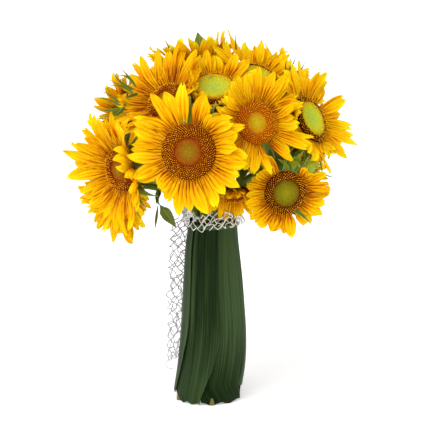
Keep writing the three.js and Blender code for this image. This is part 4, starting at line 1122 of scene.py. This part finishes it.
def grow_strand(growth, ends, radius, tone, chance, bow=0.16):
    """One strand between two knots, a little bowed and uneven."""
    one, other = ends
    shares = np.linspace(0, 1, 5)
    length = np.linalg.norm(other - one)
    line = one + (other - one) * shares[:, None]
    line = line + np.sin(math.pi * shares)[:, None] * chance.normal(0, bow * length, 3)
    uneven = radius * chance.uniform(0.7, 1.3, len(line))
    growth.tube(line, uneven, STRAND_SIDES, tone, side=(0.31, 0.27, 0.9))


def grow_mesh(growth, place, columns, rows, radius, tone, chance, torn, ring=False, fade=0.0):
    """A net of knots over a surface, each tied to the two on the next row, with some strands torn."""
    knots = {}
    for row in range(rows):
        for column in range(row % 2, columns + 1, 2):
            spread = chance.normal(0, KNOT_SPREAD, 2)
            down = (row + spread[1]) / (rows if ring else rows - 1)
            knots[column, row] = place((column + spread[0]) / columns, down)
    for (column, row), knot in knots.items():
        for step in (-1, 1):
            below = (column + step, (row + 1) % rows if ring else row + 1)
            if below in knots and chance.random() > torn:
                grow_strand(growth, (knot, knots[below]), radius, tone - fade * row / rows, chance)


# The middle of the net's tail by height, its width there and the angle that it is turned to.
TAIL_FOOT = 42
TAIL_Z = (242, 212, 180, 100, 44)
TAIL_X = (-33, -37, -40, -43, -47.5)
TAIL_Y = (2, 10, 19, 22, 22)
TAIL_WIDTH = (15, 20, 21, 20, 14)
TAIL_TURN = (120, 105, 95, 90, 90)


def tail_place(across, down):
    """A point of the net's tail: from the collar over the neck's left and down beside the handle."""
    z = TAIL_Z[0] + (TAIL_FOOT - TAIL_Z[0]) * down
    depths = [-spot for spot in TAIL_Z]
    rows = (TAIL_X, TAIL_Y, TAIL_WIDTH, TAIL_TURN)
    x, y, width, turn = (np.interp(-z, depths, row) for row in rows)
    offset = (across - 0.5) * width
    billow = 2.5 * math.sin(down * 9 + across * 2)
    return np.array((x + math.sin(rad(turn)) * offset, y - math.cos(rad(turn)) * offset + billow, z))


def collar_place(down, round_share):
    """A point of the collar, which lies lower at the back."""
    angle = 360 * round_share
    lower = 2.5 * math.sin(rad(angle)) - 1.5 * math.cos(rad(angle * 3))
    return on_handle(angle, 244 - 20 * down + lower, 3.2 + 1.4 * math.sin(rad(angle * 5)) + 2 * down)


def outer_collar_place(down, round_share):
    spot = collar_place(0.9 * down, round_share + 0.012)
    return spot + unit((spot - NECK) * (1, 1, 0)) * 1.8


def back_tail_place(across, down):
    return tail_place(across, down) + (0.8, 3.5, 1.5)


def flare_place(across, down):
    """A point of the net where it stands off under the flowers at the left."""
    angle = 150 + 80 * across
    z = 286 - 48 * down
    return on_handle(angle, 228, 4 + 44 * (1 - down) ** 1.2) * (1, 1, 0) + (0, 0, z)


def grow_net():
    """The fibre net: its tail, its collar round the neck and the loose ends of both."""
    growth = Growth()
    chance = draw("net")
    grow_mesh(growth, tail_place, 4, 32, 0.74, LILAC, chance, torn=0.05, fade=0.3)
    grow_mesh(growth, back_tail_place, 4, 24, 0.6, LILAC, chance, torn=0.25, fade=0.3)
    grow_mesh(growth, collar_place, 4, 44, 0.5, BEIGE, chance, ring=True, torn=0.14)
    grow_mesh(growth, outer_collar_place, 3, 30, 0.6, BEIGE, chance, ring=True, torn=0.35)
    grow_mesh(growth, flare_place, 14, 9, 0.5, 0.9, chance, torn=0.12)
    foot = tail_place(0.2, 1)
    curl = (foot, foot + (-7, 0, -3), foot + (-5, 0, -14), foot + (6, 0, -12))
    growth.tube(bezier(curl, np.linspace(0, 1, 14)), 0.4, STRAND_SIDES, LILAC, side=(0.31, 0.9, 0.2))
    for _ in range(COLLAR_ENDS):
        knot = collar_place(chance.random(), chance.random())
        out = unit((knot - NECK) * (1, 1, 0))
        end = knot + out * chance.uniform(1, 5) + chance.normal(0, 3.5, 3)
        grow_strand(growth, (knot, end), 0.45, BEIGE, chance, 0.25)
    for _ in range(TAIL_ENDS):
        knot = tail_place(chance.random(), chance.random())
        grow_strand(growth, (knot, knot + chance.normal(0, 3.5, 3)), 0.24, LILAC, chance, 0.3)
    make("net_mesh", growth, [FIBRE], "net", "net")


# ---------- The bunch ----------

for name, flower in FLOWERS.items():
    head = Head(flower["at"], flower["yaw"], flower["pitch"])
    grow_petals(name, flower, head)
    grow_florets(name, flower, head)
    grow_stem(name, flower, head)
grow_buds()
for name in LEAVES:
    grow_leaf(name)
for name in WRAPS:
    grow_wrap(name)
grow_binding()
grow_net()


# ---------- The studio ----------

FLOOR_REACH = 60
FLOOR_GLOW, AIR_GLOW = 0.34, 0.66
floor_mesh = bpy.data.meshes.new("floor")
corners = [(x * FLOOR_REACH, y * FLOOR_REACH, 0) for x, y in ((-1, -1), (1, -1), (1, 1), (-1, 1))]
floor_mesh.from_pydata(corners, [], [(0, 1, 2, 3)])
floor = add_object("floor", floor_mesh)
paper = Finish("lit_paper", Roughness=0.9, Specular_IOR_Level=0.1,
               Emission_Color=rgb(1, 1, 1), Emission_Strength=FLOOR_GLOW)
white = paper.mix(paper.noise(9.0), rgb(0.92, 0.92, 0.92), rgb(0.94, 0.94, 0.94))
floor_mesh.materials.append(paper.coat(white))

world = bpy.data.worlds.new("studio")
world.use_nodes = True
air = world.node_tree.nodes["Background"].inputs
air["Color"].default_value, air["Strength"].default_value = rgb(1, 1, 1), AIR_GLOW
bpy.context.scene.world = world

# One broad soft light from the front, above and a little to the left.
softbox = add_object("softbox", bpy.data.lights.new("softbox", "SUN"))
softbox.data.energy, softbox.data.angle = 2.2, rad(55)
softbox.rotation_euler = Vector((-0.45, -0.75, 1.0)).to_track_quat("Z", "Y").to_euler()

camera = add_object("camera", bpy.data.cameras.new("camera"))
bpy.context.scene.camera = camera
# In metres and degrees, as the photo was taken.
CAMERA_AIM = Vector((0.0075, 0, 0.2346))
CAMERA_REACH, CAMERA_PITCH = 1.923, 10
camera.data.sensor_width, camera.data.lens = 36, 128.8
camera.data.clip_end = 200
view = Vector((0, -math.cos(rad(CAMERA_PITCH)), math.sin(rad(CAMERA_PITCH))))
camera.location = CAMERA_AIM + CAMERA_REACH * view
camera.rotation_euler = (CAMERA_AIM - camera.location).to_track_quat("-Z", "Y").to_euler()

bpy.context.scene.view_settings.view_transform = "Standard"
